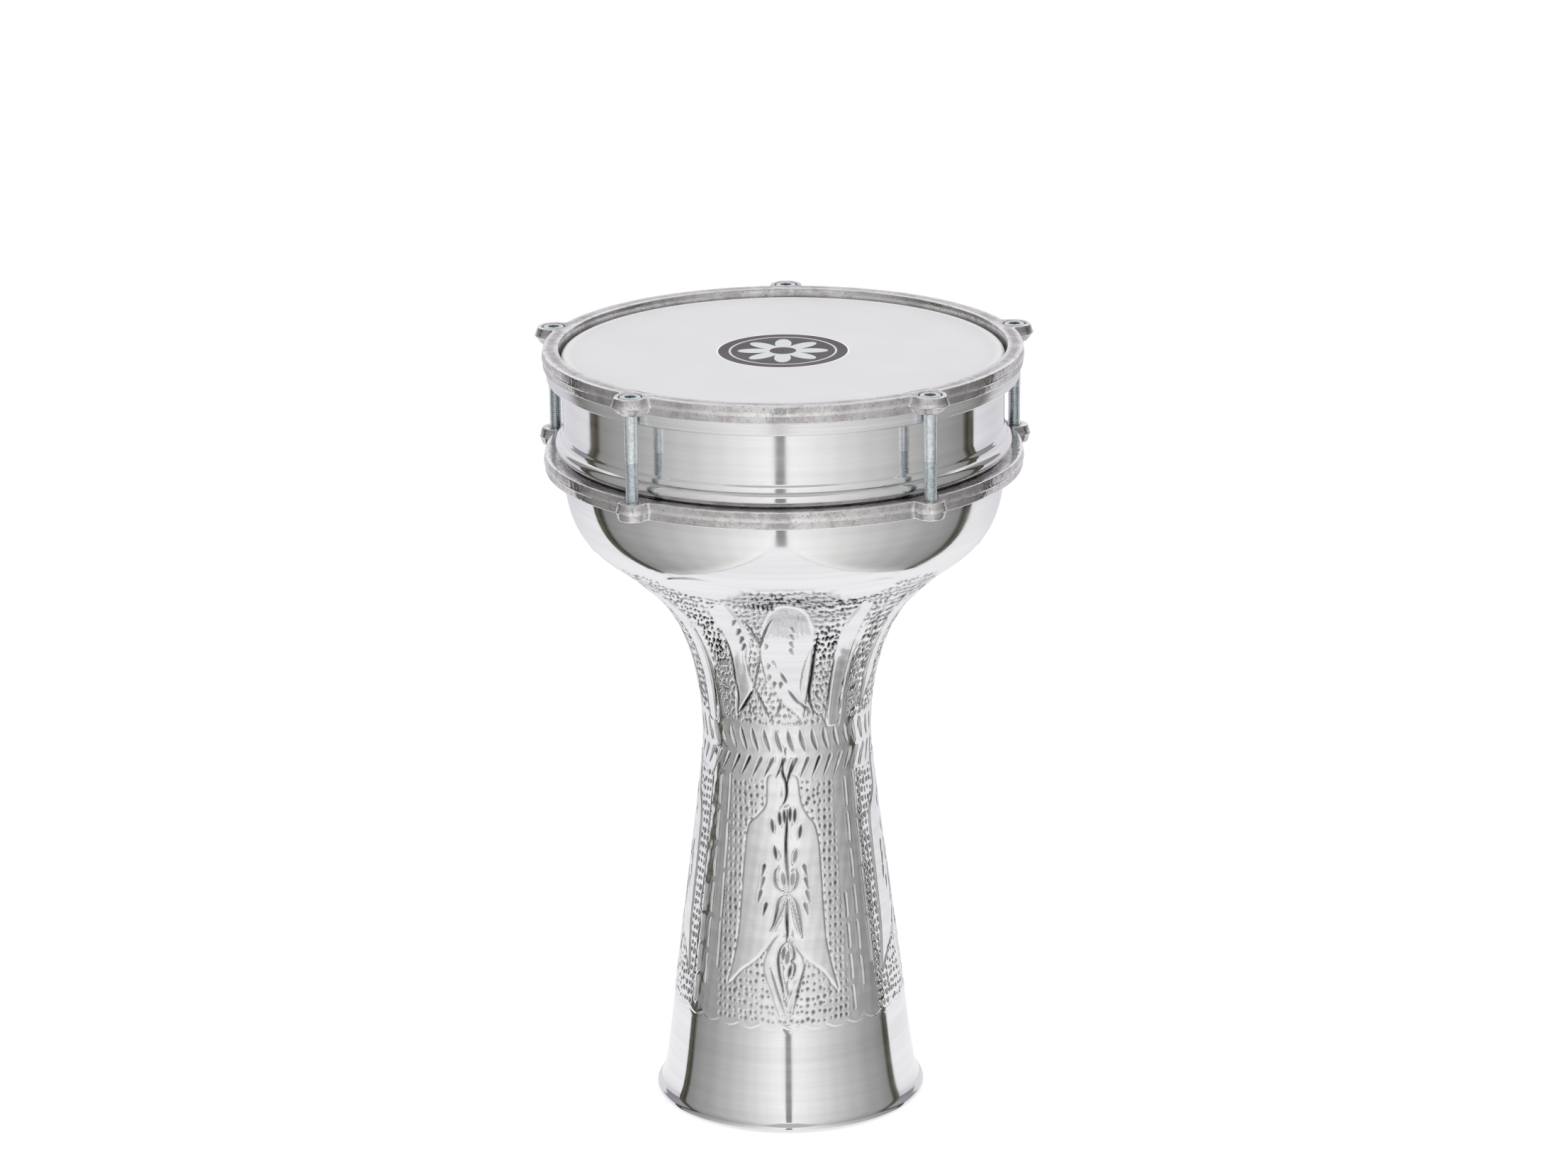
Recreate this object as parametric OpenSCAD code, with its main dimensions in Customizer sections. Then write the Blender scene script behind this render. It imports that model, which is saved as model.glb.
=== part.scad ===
// Goblet drum with a cast tension hoop, a clamped film head and a cast backing ring.
// Frame: origin at the centre of the foot, on the surface it stands on; +Z up the drum's axis.
// One of the bolt ears lies on +Y.

/* [Overall] */
// Height from the foot to the top of the tension hoop
drum_h = 370; // [300:1:450]
// Outside diameter of the shell's cylindrical wall
wall_d = 205.7; // [170:0.1:260]
// Thickness of the shell's wall
wall_t = 2.4; // [1.6:0.1:4]

/* [Shell] */
// Outside radius of the neck at its narrowest
neck_r = 39.8; // [30:0.1:55]
// Radius at the bowl's shoulder, where the curve turns from hollow to full
shoulder_r = 72; // [62:0.5:80]
// Drop from the bowl's top to the shoulder
shoulder_drop = 50.7; // [40:0.1:65]
// Drop from the shoulder to the neck
neck_drop = 82.2; // [60:0.1:110]
// Lean of the shoulder from the vertical, in degrees
shoulder_lean = 41.5; // [30:0.5:50]
// Radius of the tail where the foot flare starts
tail_r = 56.5; // [50:0.5:66]
// Height of that place above the foot
tail_z = 39; // [25:0.5:60]
// Largest radius of the foot
foot_r = 64.4; // [60:0.1:85]
// Width of the flat ring that the drum stands on
foot_w = 2.9; // [2:0.1:6]
// Radius of the foot's rounded rim
rim_round = 2; // [1:0.1:3]
// Height of the collar, from the bead's underside to the bearing edge
collar_h = 45.25; // [30:0.25:70]
// Radius of the half-round bead that the backing ring pulls against
bead_r = 3.7; // [2.5:0.1:6]
// How far the bead's centre lies inside the wall's surface
bead_sink = 0.1; // [0:0.05:0.6]
// Radial step of the small land above the bead
land_step = 1.3; // [0.4:0.1:2]
// Height of the small land above the bead
land_h = 3.5; // [1:0.1:6]
// Radius of the bearing edge that the film bends over
edge_round = 1.6; // [0.8:0.1:2]

/* [Head] */
// Thickness of the film
film_t = 0.25; // [0.15:0.01:0.6]
// Depth of the film below the hoop's top
film_drop = 3.5; // [1:0.1:5]
// Radial gap between the wall and the flesh hoop
flesh_gap = 0.4; // [0.2:0.05:1]
// How far the flesh hoop's outer side lies inside the tension hoop's outer side
flesh_inset = 2; // [1:0.1:3]
// Height of the flesh hoop
flesh_h = 6; // [4:0.1:9]
// Thickness of the flesh hoop's metal
flesh_t = 0.6; // [0.4:0.05:1]
// Step from the flesh hoop's outer lip down to its inner lip
flesh_lip_step = 1.5; // [1:0.1:2.5]
// Clearance between the film and the metal and resin round it
film_clear = 0.1; // [0.05:0.01:0.2]

/* [Hoop and ring] */
// Radial gap between the wall and the hoop's bore
hoop_gap = 1.25; // [1:0.05:2.5]
// Radial width of the hoop
hoop_w = 7.9; // [6:0.1:12]
// Height of the hoop
hoop_h = 8.2; // [7.5:0.1:14]
// Height of the backing ring
ring_h = 8.3; // [6:0.1:14]
// Radial gap between the wall and the backing ring's bore
ring_gap = 0.15; // [0.1:0.05:0.5]
// How far the castings' outer sides draw in above and below their parting lines
draft = 0.4; // [0:0.05:1]
// Height of the narrow band at the castings' parting line
parting_w = 0.6; // [0.2:0.1:1.5]
// Width of the small chamfers on the castings
cast_chamfer = 0.5; // [0.2:0.1:1]

/* [Bolts and ears] */
// How far the bolt circle lies outside the hoop's outer side
bolt_out = 2; // [1:0.1:6]
// Diameter of the bolt's shank
bolt_d = 6; // [4:1:8]
// How far the bolt's tip stops above the backing ring's underside
tip_above = 1.3; // [0.5:0.1:4]
// Diameter of the bolt's head
head_d = 10; // [8:0.5:14]
// Height of the bolt's head
head_h = 6; // [4:0.5:6.5]
// Width across flats of the hex socket
socket_af = 5; // [3:0.5:6]
// Depth of the hex socket
socket_depth = 3; // [2:0.5:4]
// Radial clearance of the bolt in its holes
bolt_clear = 0.08; // [0.02:0.01:0.1]
// Radial clearance of the head in its counterbore
head_clear = 0.4; // [0.2:0.1:1]
// Wall of the hoop's ear round the counterbore, at the top face
ear_wall = 2.2; // [1.5:0.1:4]
// How far the hoop's ear swells at its parting line
ear_swell = 1.5; // [0.5:0.1:3]
// How far the hoop's ear draws in at its bottom face
ear_draw = 1.6; // [0.5:0.1:2.5]
// Wall of the backing ring's ear round the bolt, at the top face
lug_wall = 3.6; // [2.5:0.1:6]
// How far the backing ring's ear swells at its parting line
lug_swell = 1.2; // [0.3:0.1:3]

/* [Hidden] */
$fn = 128;

BOLT_COUNT = 5;
CURVE_STEPS = 14;      // straight steps along each long curve of the shell
ARC_STEPS = 6;         // straight steps round each small arc
EPS = 0.01;

skirt_above = 1.8;     // height of the film's edge above the flesh hoop's underside
bowl_below = 0.3;      // drop from the backing ring's underside to the bowl's top
inner_edge = 0.4;      // chamfer on the inner side of the bearing edge
bolt_tip = 0.8;        // height of the cone at the bolt's tip

// Handles of the shell's curves: lengths in mm, or shares of the height that the curve spans
rim_lean = 61;         // lean of the flare where it leaves the rim
rim_pull = 3.3;
flare_pull = 0.57;
tail_pull = 0.32;
waist_pull = 0.13;
neck_pull = 0.764;
shoulder_pull_down = 8.4;
shoulder_pull_up = 15;
bowl_pull = 0.745;
mouth_pull_low = 0.2;  // inside of the foot, at the floor
mouth_pull_high = 0.5; // inside of the foot, where the tail's wall starts

cast_grey = [0.62, 0.60, 0.61];
bright_metal = [0.84, 0.84, 0.85];
zinc = [0.72, 0.76, 0.78];
film_white = [0.9, 0.9, 0.91];
resin_amber = [0.75, 0.68, 0.5];

// Radii from the axis outwards
wall_r = wall_d / 2;
hoop_in = wall_r + hoop_gap;
hoop_out = hoop_in + hoop_w;
flesh_in = wall_r + flesh_gap;
flesh_out = hoop_out - flesh_inset;
skirt_in = flesh_in + flesh_t + film_clear;
skirt_out = skirt_in + film_t;
ring_in = wall_r + ring_gap;
bolt_circle_r = hoop_out + bolt_out;

// Heights from the top downwards
film_z = drum_h - film_drop;
edge_z = film_z - film_t;
hoop_z = drum_h - hoop_h;
flesh_z = hoop_z - flesh_h;
inner_lip_z = hoop_z - flesh_lip_step;
skirt_z = flesh_z + skirt_above;
bead_bottom_z = edge_z - collar_h;
ring_z = bead_bottom_z - ring_h;
bowl_top_z = ring_z - bowl_below;
shoulder_z = bowl_top_z - shoulder_drop;
neck_z = shoulder_z - neck_drop;

// Lean of the tail from the vertical: it runs straight from the flare to the neck
tail_lean = atan((tail_r - neck_r) / (neck_z - tail_z));

// Points along a cubic curve with end points a, d and handles b, c
function curve(a, b, c, d, steps) = [for (i = [0:steps]) let (t = i / steps, s = 1 - t)
    s * s * s * a + 3 * s * s * t * b + 3 * s * t * t * c + t * t * t * d];

// Points along an arc about a centre, from one angle to another
function arc(centre, r, from, to, steps) = [for (i = [0:steps])
    let (a = from + (to - from) * i / steps) centre + r * [cos(a), sin(a)]];

// Step of length s from point p, leaning inwards from straight up by an angle
function up_in(p, s, lean) = p + s * [-sin(lean), cos(lean)];

// Points moved to the left of their path by t, which is inwards on the way up
function inset(points, t) = [for (i = [0:len(points) - 1])
    let (a = points[max(i - 1, 0)], b = points[min(i + 1, len(points) - 1)], d = b - a)
    points[i] + t / norm(d) * [-d[1], d[0]]];

function reversed(points) = [for (i = [len(points) - 1:-1:0]) points[i]];

function without_first(points) = [for (i = [1:len(points) - 1]) points[i]];

// Outside of the shell from the rim up to the bowl's top
rim_points = arc([foot_r - rim_round, rim_round], rim_round, -90, rim_lean, ARC_STEPS);
flare_start = rim_points[ARC_STEPS];
tail_point = [tail_r, tail_z];
neck_point = [neck_r, neck_z];
shoulder_point = [shoulder_r, shoulder_z];
bowl_point = [wall_r, bowl_top_z];
flare_points = curve(flare_start, up_in(flare_start, rim_pull, rim_lean),
    up_in(tail_point, -flare_pull * tail_z, tail_lean), tail_point, CURVE_STEPS);
tail_points = curve(tail_point, up_in(tail_point, tail_pull * (neck_z - tail_z), tail_lean),
    neck_point - [0, waist_pull * (neck_z - tail_z)], neck_point, CURVE_STEPS);
hollow_points = curve(neck_point, neck_point + [0, neck_pull * neck_drop],
    up_in(shoulder_point, -shoulder_pull_down, -shoulder_lean), shoulder_point, CURVE_STEPS);
full_points = curve(shoulder_point, up_in(shoulder_point, shoulder_pull_up, -shoulder_lean),
    bowl_point - [0, bowl_pull * shoulder_drop], bowl_point, CURVE_STEPS);
body_points = concat(tail_points, without_first(hollow_points), without_first(full_points));

// Inside of the shell: the wall's thickness follows the curve, and the foot is thicker
inner_body_points = inset(body_points, wall_t);
foot_in = foot_r - rim_round - foot_w;
inner_flare_points = curve([foot_in, 0], [foot_in, mouth_pull_low * tail_z],
    up_in(inner_body_points[0], -mouth_pull_high * tail_z, tail_lean), inner_body_points[0], CURVE_STEPS);

// Bead and land on the collar, from the bead's underside upwards
bead_z = bead_bottom_z + bead_r;
bead_centre = [wall_r - bead_sink, bead_z];
land_r = wall_r + land_step;
bead_from = acos(bead_sink / bead_r);
bead_to = acos((land_step + bead_sink) / bead_r);
bead_points = arc(bead_centre, bead_r, -bead_from, bead_to, 3 * ARC_STEPS);
land_z = bead_points[3 * ARC_STEPS][1];

edge_centre = [wall_r - edge_round, edge_z - edge_round];
edge_points = arc(edge_centre, edge_round, 0, 90, ARC_STEPS);

module shell() {
    color(bright_metal)
        rotate_extrude()
            polygon(concat(
                rim_points, without_first(flare_points), without_first(body_points),
                bead_points,
                [[land_r, land_z + 0.4 * land_h], [wall_r, land_z + land_h]],
                edge_points,
                [[wall_r - wall_t + inner_edge, edge_z], [wall_r - wall_t, edge_z - inner_edge]],
                reversed(inner_body_points),
                reversed([for (i = [0:CURVE_STEPS - 1]) inner_flare_points[i]])));
}

// The film lies flat, bends over the bearing edge and runs down into the flesh hoop
module head_film() {
    over_edge = arc(edge_centre, edge_round + film_t, 90, 0, ARC_STEPS);
    color(film_white)
        rotate_extrude()
            polygon(concat(
                [[0, edge_z], [0, film_z]], over_edge,
                [[skirt_out, inner_lip_z], [skirt_out, skirt_z],
                 [skirt_in, skirt_z], [skirt_in, inner_lip_z]],
                edge_points));
}

// Rolled channel, open at the top, that holds the film's edge
module flesh_hoop() {
    color(bright_metal)
        rotate_extrude()
            polygon([
                [flesh_in, flesh_z], [flesh_out - flesh_t, flesh_z], [flesh_out, flesh_z + flesh_t],
                [flesh_out, hoop_z], [flesh_out - flesh_t, hoop_z],
                [flesh_out - flesh_t, flesh_z + flesh_t], [flesh_in + flesh_t, flesh_z + flesh_t],
                [flesh_in + flesh_t, inner_lip_z], [flesh_in, inner_lip_z]]);
}

// Resin in the channel, with the groove that the film's edge is set in
module flesh_resin() {
    floor_z = flesh_z + flesh_t;
    groove_out = skirt_out + film_clear;
    color(resin_amber)
        rotate_extrude()
            polygon([
                [flesh_in + flesh_t, floor_z], [flesh_out - flesh_t, floor_z],
                [flesh_out - flesh_t, inner_lip_z], [groove_out, inner_lip_z],
                [groove_out, skirt_z - film_clear], [flesh_in + flesh_t, skirt_z - film_clear]]);
}

// Solid disc with a drafted rim and a narrow parting band at mid height
module cast_disc(r, z, h) {
    c = cast_chamfer;
    rotate_extrude()
        polygon([
            [0, z], [r - draft - c, z], [r - draft, z + c],
            [r, z + (h - parting_w) / 2], [r, z + (h + parting_w) / 2],
            [r - draft, z + h - c], [r - draft - c, z + h], [0, z + h]]);
}

// Round ear that swells to its parting line at mid height
module ear(r_bottom, r_swell, r_top, z, h) {
    rotate_extrude() polygon([[0, z], [r_bottom, z], [r_swell, z + h / 2], [r_top, z + h], [0, z + h]]);
}

// Cutter for a bore with a chamfer at each mouth
module bore_cutter(r, z, h) {
    c = cast_chamfer;
    rotate_extrude()
        polygon([
            [0, z - 1], [r + c + 1, z - 1], [r, z + c],
            [r, z + h - c], [r + c + 1, z + h + 1], [0, z + h + 1]]);
}

// Places what follows at one of the bolts, the first at the back
module at_bolt(i) {
    rotate([0, 0, 90 + 360 / BOLT_COUNT * (i - 1)]) translate([bolt_circle_r, 0, 0]) children();
}

head_seat_z = drum_h - head_h;
counterbore_r = head_d / 2 + head_clear;
ear_top_r = counterbore_r + ear_wall;
lug_top_r = bolt_d / 2 + lug_wall;
shank_hole_r = bolt_d / 2 + bolt_clear;

module tension_hoop() {
    color(cast_grey)
        difference() {
            union() {
                cast_disc(hoop_out, hoop_z, hoop_h);
                for (i = [1:BOLT_COUNT])
                    at_bolt(i) ear(ear_top_r - ear_draw, ear_top_r + ear_swell, ear_top_r, hoop_z, hoop_h);
            }
            bore_cutter(hoop_in, hoop_z, hoop_h);
            for (i = [1:BOLT_COUNT])
                at_bolt(i) {
                    translate([0, 0, head_seat_z]) cylinder(h = head_h + 1, r = counterbore_r);
                    translate([0, 0, hoop_z - 1]) cylinder(h = hoop_h + 2, r = shank_hole_r);
                }
        }
}

// The ring bears up against the bead when the bolts are drawn down
module lower_ring() {
    color(cast_grey)
        difference() {
            union() {
                cast_disc(hoop_out, ring_z, ring_h);
                for (i = [1:BOLT_COUNT])
                    at_bolt(i) ear(lug_top_r, lug_top_r + lug_swell, lug_top_r, ring_z, ring_h);
            }
            bore_cutter(ring_in, ring_z, ring_h);
            for (i = [1:BOLT_COUNT])
                at_bolt(i) translate([0, 0, ring_z - 1]) cylinder(h = ring_h + 2, r = shank_hole_r);
        }
}

// Socket-head bolt whose head lies level with the hoop's top face
module tension_bolt(i) {
    tip_z = ring_z + tip_above;
    color(zinc)
        at_bolt(i)
            difference() {
                union() {
                    translate([0, 0, head_seat_z]) cylinder(h = head_h, r = head_d / 2);
                    translate([0, 0, tip_z + bolt_tip])
                        cylinder(h = head_seat_z - tip_z - bolt_tip + EPS, r = bolt_d / 2);
                    translate([0, 0, tip_z])
                        cylinder(h = bolt_tip, r1 = bolt_d / 2 - bolt_tip, r2 = bolt_d / 2);
                }
                translate([0, 0, drum_h - socket_depth])
                    cylinder(h = socket_depth + 1, d = socket_af / cos(30), $fn = 6);
            }
}

shell();
lower_ring();
head_film();
tension_hoop();
flesh_hoop();
flesh_resin();
tension_bolt(1);  // tension_bolt_1
tension_bolt(2);  // tension_bolt_2
tension_bolt(3);  // tension_bolt_3
tension_bolt(4);  // tension_bolt_4
tension_bolt(5);  // tension_bolt_5
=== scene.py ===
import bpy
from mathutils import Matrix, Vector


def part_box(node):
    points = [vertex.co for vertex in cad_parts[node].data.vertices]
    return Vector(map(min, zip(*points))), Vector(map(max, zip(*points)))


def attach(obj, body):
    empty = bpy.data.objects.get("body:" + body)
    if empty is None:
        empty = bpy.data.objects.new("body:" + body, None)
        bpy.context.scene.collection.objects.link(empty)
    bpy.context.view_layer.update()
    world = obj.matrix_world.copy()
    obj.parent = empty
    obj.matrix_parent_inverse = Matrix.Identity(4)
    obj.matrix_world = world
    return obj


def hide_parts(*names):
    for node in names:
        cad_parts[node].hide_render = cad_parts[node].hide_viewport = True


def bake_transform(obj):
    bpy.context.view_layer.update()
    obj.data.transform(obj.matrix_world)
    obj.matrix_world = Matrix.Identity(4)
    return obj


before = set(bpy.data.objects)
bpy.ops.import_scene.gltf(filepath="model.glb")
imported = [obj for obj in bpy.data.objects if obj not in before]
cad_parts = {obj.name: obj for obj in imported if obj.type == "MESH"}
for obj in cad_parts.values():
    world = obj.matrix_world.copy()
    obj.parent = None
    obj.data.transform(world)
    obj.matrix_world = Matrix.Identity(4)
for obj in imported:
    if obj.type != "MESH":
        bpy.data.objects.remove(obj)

"""Goblet drum with a chased metal shell, a film head and two cast rings drawn together by socket-head bolts.

Every piece is built in the CAD model's frame: origin at the centre of the foot, +Z up the drum's axis,
one bolt ear on +Y. Sizes are in millimetres until a mesh is written, where they become metres.
"""
import logging
import math
from collections.abc import Sequence
from dataclasses import dataclass, field, replace
from enum import Enum

import bmesh
import bpy
import numpy as np
from mathutils import Matrix, Vector

MM = 0.001
LOG = logging.getLogger("goblet_drum")

Array = np.ndarray
Point = tuple[float, float]
Colour = tuple[float, float, float, float]
Tone = tuple[float, float, float]
Stops = Sequence[tuple[float, Tone]]


class Body(Enum):
    """Bodies of the CAD model that pieces ride on."""

    DRUM = "drum"
    HOOP = "hoop"


class Slot(Enum):
    """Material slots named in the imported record."""

    SHELL = "polished_shell"
    CAST = "cast_ring"
    ROLLED = "rolled_aluminium"
    ZINC = "zinc_bolt"
    FILM = "film"
    RESIN = "resin"


class Taper(Enum):
    """How the width of a chased stroke runs from its first point to its last."""

    EVEN = "even"
    BOTH = "both"
    TAIL = "tail"


# --------------------------------------------------------------------------------------------------
# Curves and meshes
# --------------------------------------------------------------------------------------------------

def bezier(a: Point, b: Point, c: Point, d: Point, steps: int) -> Array:
    """Samples a cubic curve.

    Args:
        a: First end.
        b: Handle of the first end.
        c: Handle of the last end.
        d: Last end.
        steps: Number of straight steps.

    Returns:
        Points as an array of steps + 1 rows.
    """
    t = np.linspace(0, 1, steps + 1)[:, None]
    s = 1 - t
    ends = [np.asarray(p, float) for p in (a, b, c, d)]
    return s**3 * ends[0] + 3 * s * s * t * ends[1] + 3 * s * t * t * ends[2] + t**3 * ends[3]


def arc(centre: Point, radius: float, start: float, end: float, steps: int) -> Array:
    """Samples a circular arc between two angles in degrees, ends included."""
    a = np.radians(np.linspace(start, end, steps + 1))
    return np.column_stack([centre[0] + radius * np.cos(a), centre[1] + radius * np.sin(a)])


def up_in(point: Point, length: float, lean: float) -> Point:
    """Steps from a point by a length, leaning inwards from straight up by an angle in degrees."""
    a = math.radians(lean)
    return point[0] - length * math.sin(a), point[1] + length * math.cos(a)


def inset(path: Array, distance: float) -> Array:
    """Moves a path to the left of its direction, which is inwards on the way up."""
    d = np.gradient(path, axis=0)
    d /= np.linalg.norm(d, axis=1)[:, None]
    return path + distance * np.column_stack([-d[:, 1], d[:, 0]])


def resample(path: Array, pitch: float) -> Array:
    """Spreads points evenly along a path, about a pitch apart, keeping its ends."""
    run = np.r_[0, np.cumsum(np.linalg.norm(np.diff(path, axis=0), axis=1))]
    at = np.linspace(0, run[-1], max(2, round(run[-1] / pitch) + 1))
    return np.column_stack([np.interp(at, run, path[:, i]) for i in range(2)])


def smooth_path(points: Sequence[Point], steps: int = 8, closed: bool = False) -> Array:
    """Runs a Catmull-Rom curve through points.

    Args:
        points: Points that the curve passes through.
        steps: Steps between two points.
        closed: Whether the last point joins the first.

    Returns:
        The curve's points. A closed curve repeats its first point at the end.
    """
    p = np.asarray(points, float)
    if closed:
        p = np.vstack([p[-1], p, p[0], p[1]])
    else:
        p = np.vstack([2 * p[0] - p[1], p, 2 * p[-1] - p[-2]])
    t = np.arange(steps)[:, None] / steps
    parts = []
    for i in range(1, len(p) - 2):
        a, b, c, d = p[i - 1:i + 3]
        parts.append(0.5 * (2 * b + (c - a) * t + (2 * a - 5 * b + 4 * c - d) * t**2
                            + (3 * b - a - 3 * c + d) * t**3))
    return np.vstack([*parts, p[-2]])


def new_object(name: str, bm: bmesh.types.BMesh, sharp: float | None = None) -> bpy.types.Object:
    """Turns a bmesh in millimetres into an object in metres.

    Args:
        name: The object's name.
        bm: The mesh, which is freed.
        sharp: Angle in degrees over which an edge is shaded as a corner, or None for none.

    Returns:
        The linked object, smooth shaded, at the origin.
    """
    bmesh.ops.scale(bm, vec=(MM, MM, MM), verts=bm.verts)
    mesh = bpy.data.meshes.new(name)
    for face in bm.faces:
        face.smooth = True
    bm.to_mesh(mesh)
    bm.free()
    if sharp is not None:
        mesh.set_sharp_from_angle(angle=math.radians(sharp))
    obj = bpy.data.objects.new(name, mesh)
    bpy.context.scene.collection.objects.link(obj)
    return obj


def revolve(path: Array, steps: int, angle: float = 360.0, start: float = 0.0,
            closed: bool = True) -> bmesh.types.BMesh:
    """Spins a half section round the Z axis.

    Args:
        path: Section as rows of radius and height, in order.
        steps: Steps round the axis.
        angle: Angle that the section sweeps, in degrees.
        start: Azimuth of the first section, in degrees from +X.
        closed: Whether the section is a loop.

    Returns:
        The mesh, its normals outwards.
    """
    bm = bmesh.new()
    c, s = math.cos(math.radians(start)), math.sin(math.radians(start))
    verts = [bm.verts.new((r * c, r * s, z)) for r, z in path]
    ends = zip(verts, verts[1:] + verts[:1] if closed else verts[1:])
    edges = [bm.edges.new(pair) for pair in ends]
    full = abs(angle - 360) < 1e-6
    made = bmesh.ops.spin(bm, geom=verts + edges, cent=(0, 0, 0), axis=(0, 0, 1),
                          angle=math.radians(angle), steps=steps, use_merge=full)
    if closed and not full:
        last = [e for e in made["geom_last"] if isinstance(e, bmesh.types.BMEdge)]
        bmesh.ops.contextual_create(bm, geom=edges)
        bmesh.ops.contextual_create(bm, geom=last)
    if full:
        bmesh.ops.remove_doubles(bm, verts=bm.verts, dist=1e-4)
    bmesh.ops.recalc_face_normals(bm, faces=bm.faces)
    return bm


def wrapped_sheet(path: Array, steps: int, angle: float, start: float) -> bmesh.types.BMesh:
    """Wraps a fine grid round the Z axis as a closed solid with a looped section.

    Args:
        path: Section as rows of radius and height, in order, without its first point repeated.
        steps: Steps round the axis.
        angle: Angle that the section sweeps, in degrees.
        start: Azimuth of the first section, in degrees from +X.

    Returns:
        The mesh, closed by flat ends, its normals outwards.
    """
    bm = bmesh.new()
    loop = np.vstack([path, path[:1]])
    bmesh.ops.create_grid(bm, x_segments=steps, y_segments=len(path), size=1.0)
    for vert in bm.verts:
        r, z = loop[round((vert.co.y + 1) / 2 * len(path))]
        a = math.radians(start + (vert.co.x + 1) / 2 * angle)
        vert.co = (r * math.cos(a), r * math.sin(a), z)
    bmesh.ops.remove_doubles(bm, verts=bm.verts, dist=1e-4)
    rim = [e for e in bm.edges if e.is_boundary]
    bmesh.ops.holes_fill(bm, edges=rim, sides=0)
    bmesh.ops.recalc_face_normals(bm, faces=bm.faces)
    return bm


def vertex_array(mesh: bpy.types.Mesh) -> Array:
    """Reads a mesh's vertices, in millimetres."""
    co = np.empty(len(mesh.vertices) * 3)
    mesh.vertices.foreach_get("co", co)
    return co.reshape(-1, 3) / MM


def write_vertices(mesh: bpy.types.Mesh, co: Array) -> None:
    """Writes a mesh's vertices, given in millimetres."""
    mesh.vertices.foreach_set("co", (co * MM).ravel())
    mesh.update()


def write_attribute(mesh: bpy.types.Mesh, name: str, values: Array) -> None:
    """Stores one number per vertex for a material to read."""
    layer = mesh.attributes.new(name, "FLOAT", "POINT")
    layer.data.foreach_set("value", values.astype(np.float32))


# --------------------------------------------------------------------------------------------------
# Materials
# --------------------------------------------------------------------------------------------------

@dataclass
class NodeSheet:
    """Short calls for laying out a node tree."""

    tree: bpy.types.NodeTree

    def add(self, kind: str, inputs: dict | None = None, **settings: object) -> bpy.types.Node:
        """Adds a node, sets its properties, and fills or links its inputs."""
        node = self.tree.nodes.new(kind)
        for key, value in settings.items():
            setattr(node, key, value)
        for key, value in (inputs or {}).items():
            self.put(value, node.inputs[key])
        return node

    def put(self, value: object, socket: bpy.types.NodeSocket) -> None:
        """Links an output to a socket, or sets the socket's value."""
        if isinstance(value, bpy.types.NodeSocket):
            self.tree.links.new(value, socket)
        else:
            socket.default_value = value

    def math(self, operation: str, a: object, b: object = 0.0, clamp: bool = False) -> bpy.types.NodeSocket:
        """One arithmetic step."""
        return self.add("ShaderNodeMath", {0: a, 1: b}, operation=operation, use_clamp=clamp).outputs[0]

    def span(self, value: object, low: float, high: float, to_low: float = 0.0,
             to_high: float = 1.0) -> bpy.types.NodeSocket:
        """Maps a value from one span to another, clamped and eased."""
        return self.add("ShaderNodeMapRange", {"Value": value, "From Min": low, "From Max": high,
                                               "To Min": to_low, "To Max": to_high},
                        interpolation_type="SMOOTHSTEP").outputs["Result"]

    def mix(self, factor: object, a: object, b: object) -> bpy.types.NodeSocket:
        """Mixes two colours."""
        node = self.add("ShaderNodeMix", data_type="RGBA")
        for socket, value in zip((node.inputs[0], node.inputs[6], node.inputs[7]), (factor, a, b)):
            self.put(value, socket)
        return node.outputs[2]

    def place(self) -> bpy.types.NodeSocket:
        """Object coordinates, in metres."""
        return self.add("ShaderNodeTexCoord").outputs["Object"]

    def noise(self, vector: object, scale: float, detail: float = 3.0,
              rough: float = 0.5) -> bpy.types.NodeSocket:
        """Fractal noise."""
        return self.add("ShaderNodeTexNoise", {"Vector": vector, "Scale": scale, "Detail": detail,
                                               "Roughness": rough}).outputs["Fac"]

    def attribute(self, name: str) -> bpy.types.NodeSocket:
        """A number stored on the mesh."""
        return self.add("ShaderNodeAttribute", attribute_name=name).outputs["Fac"]

    def bump(self, height: object, depth: float, strength: float = 1.0,
             normal: object = None) -> bpy.types.NodeSocket:
        """Turns a height into a normal. The depth is in metres."""
        node = self.add("ShaderNodeBump", {"Height": height, "Distance": depth, "Strength": strength})
        if normal is not None:
            self.put(normal, node.inputs["Normal"])
        return node.outputs[0]


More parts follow.
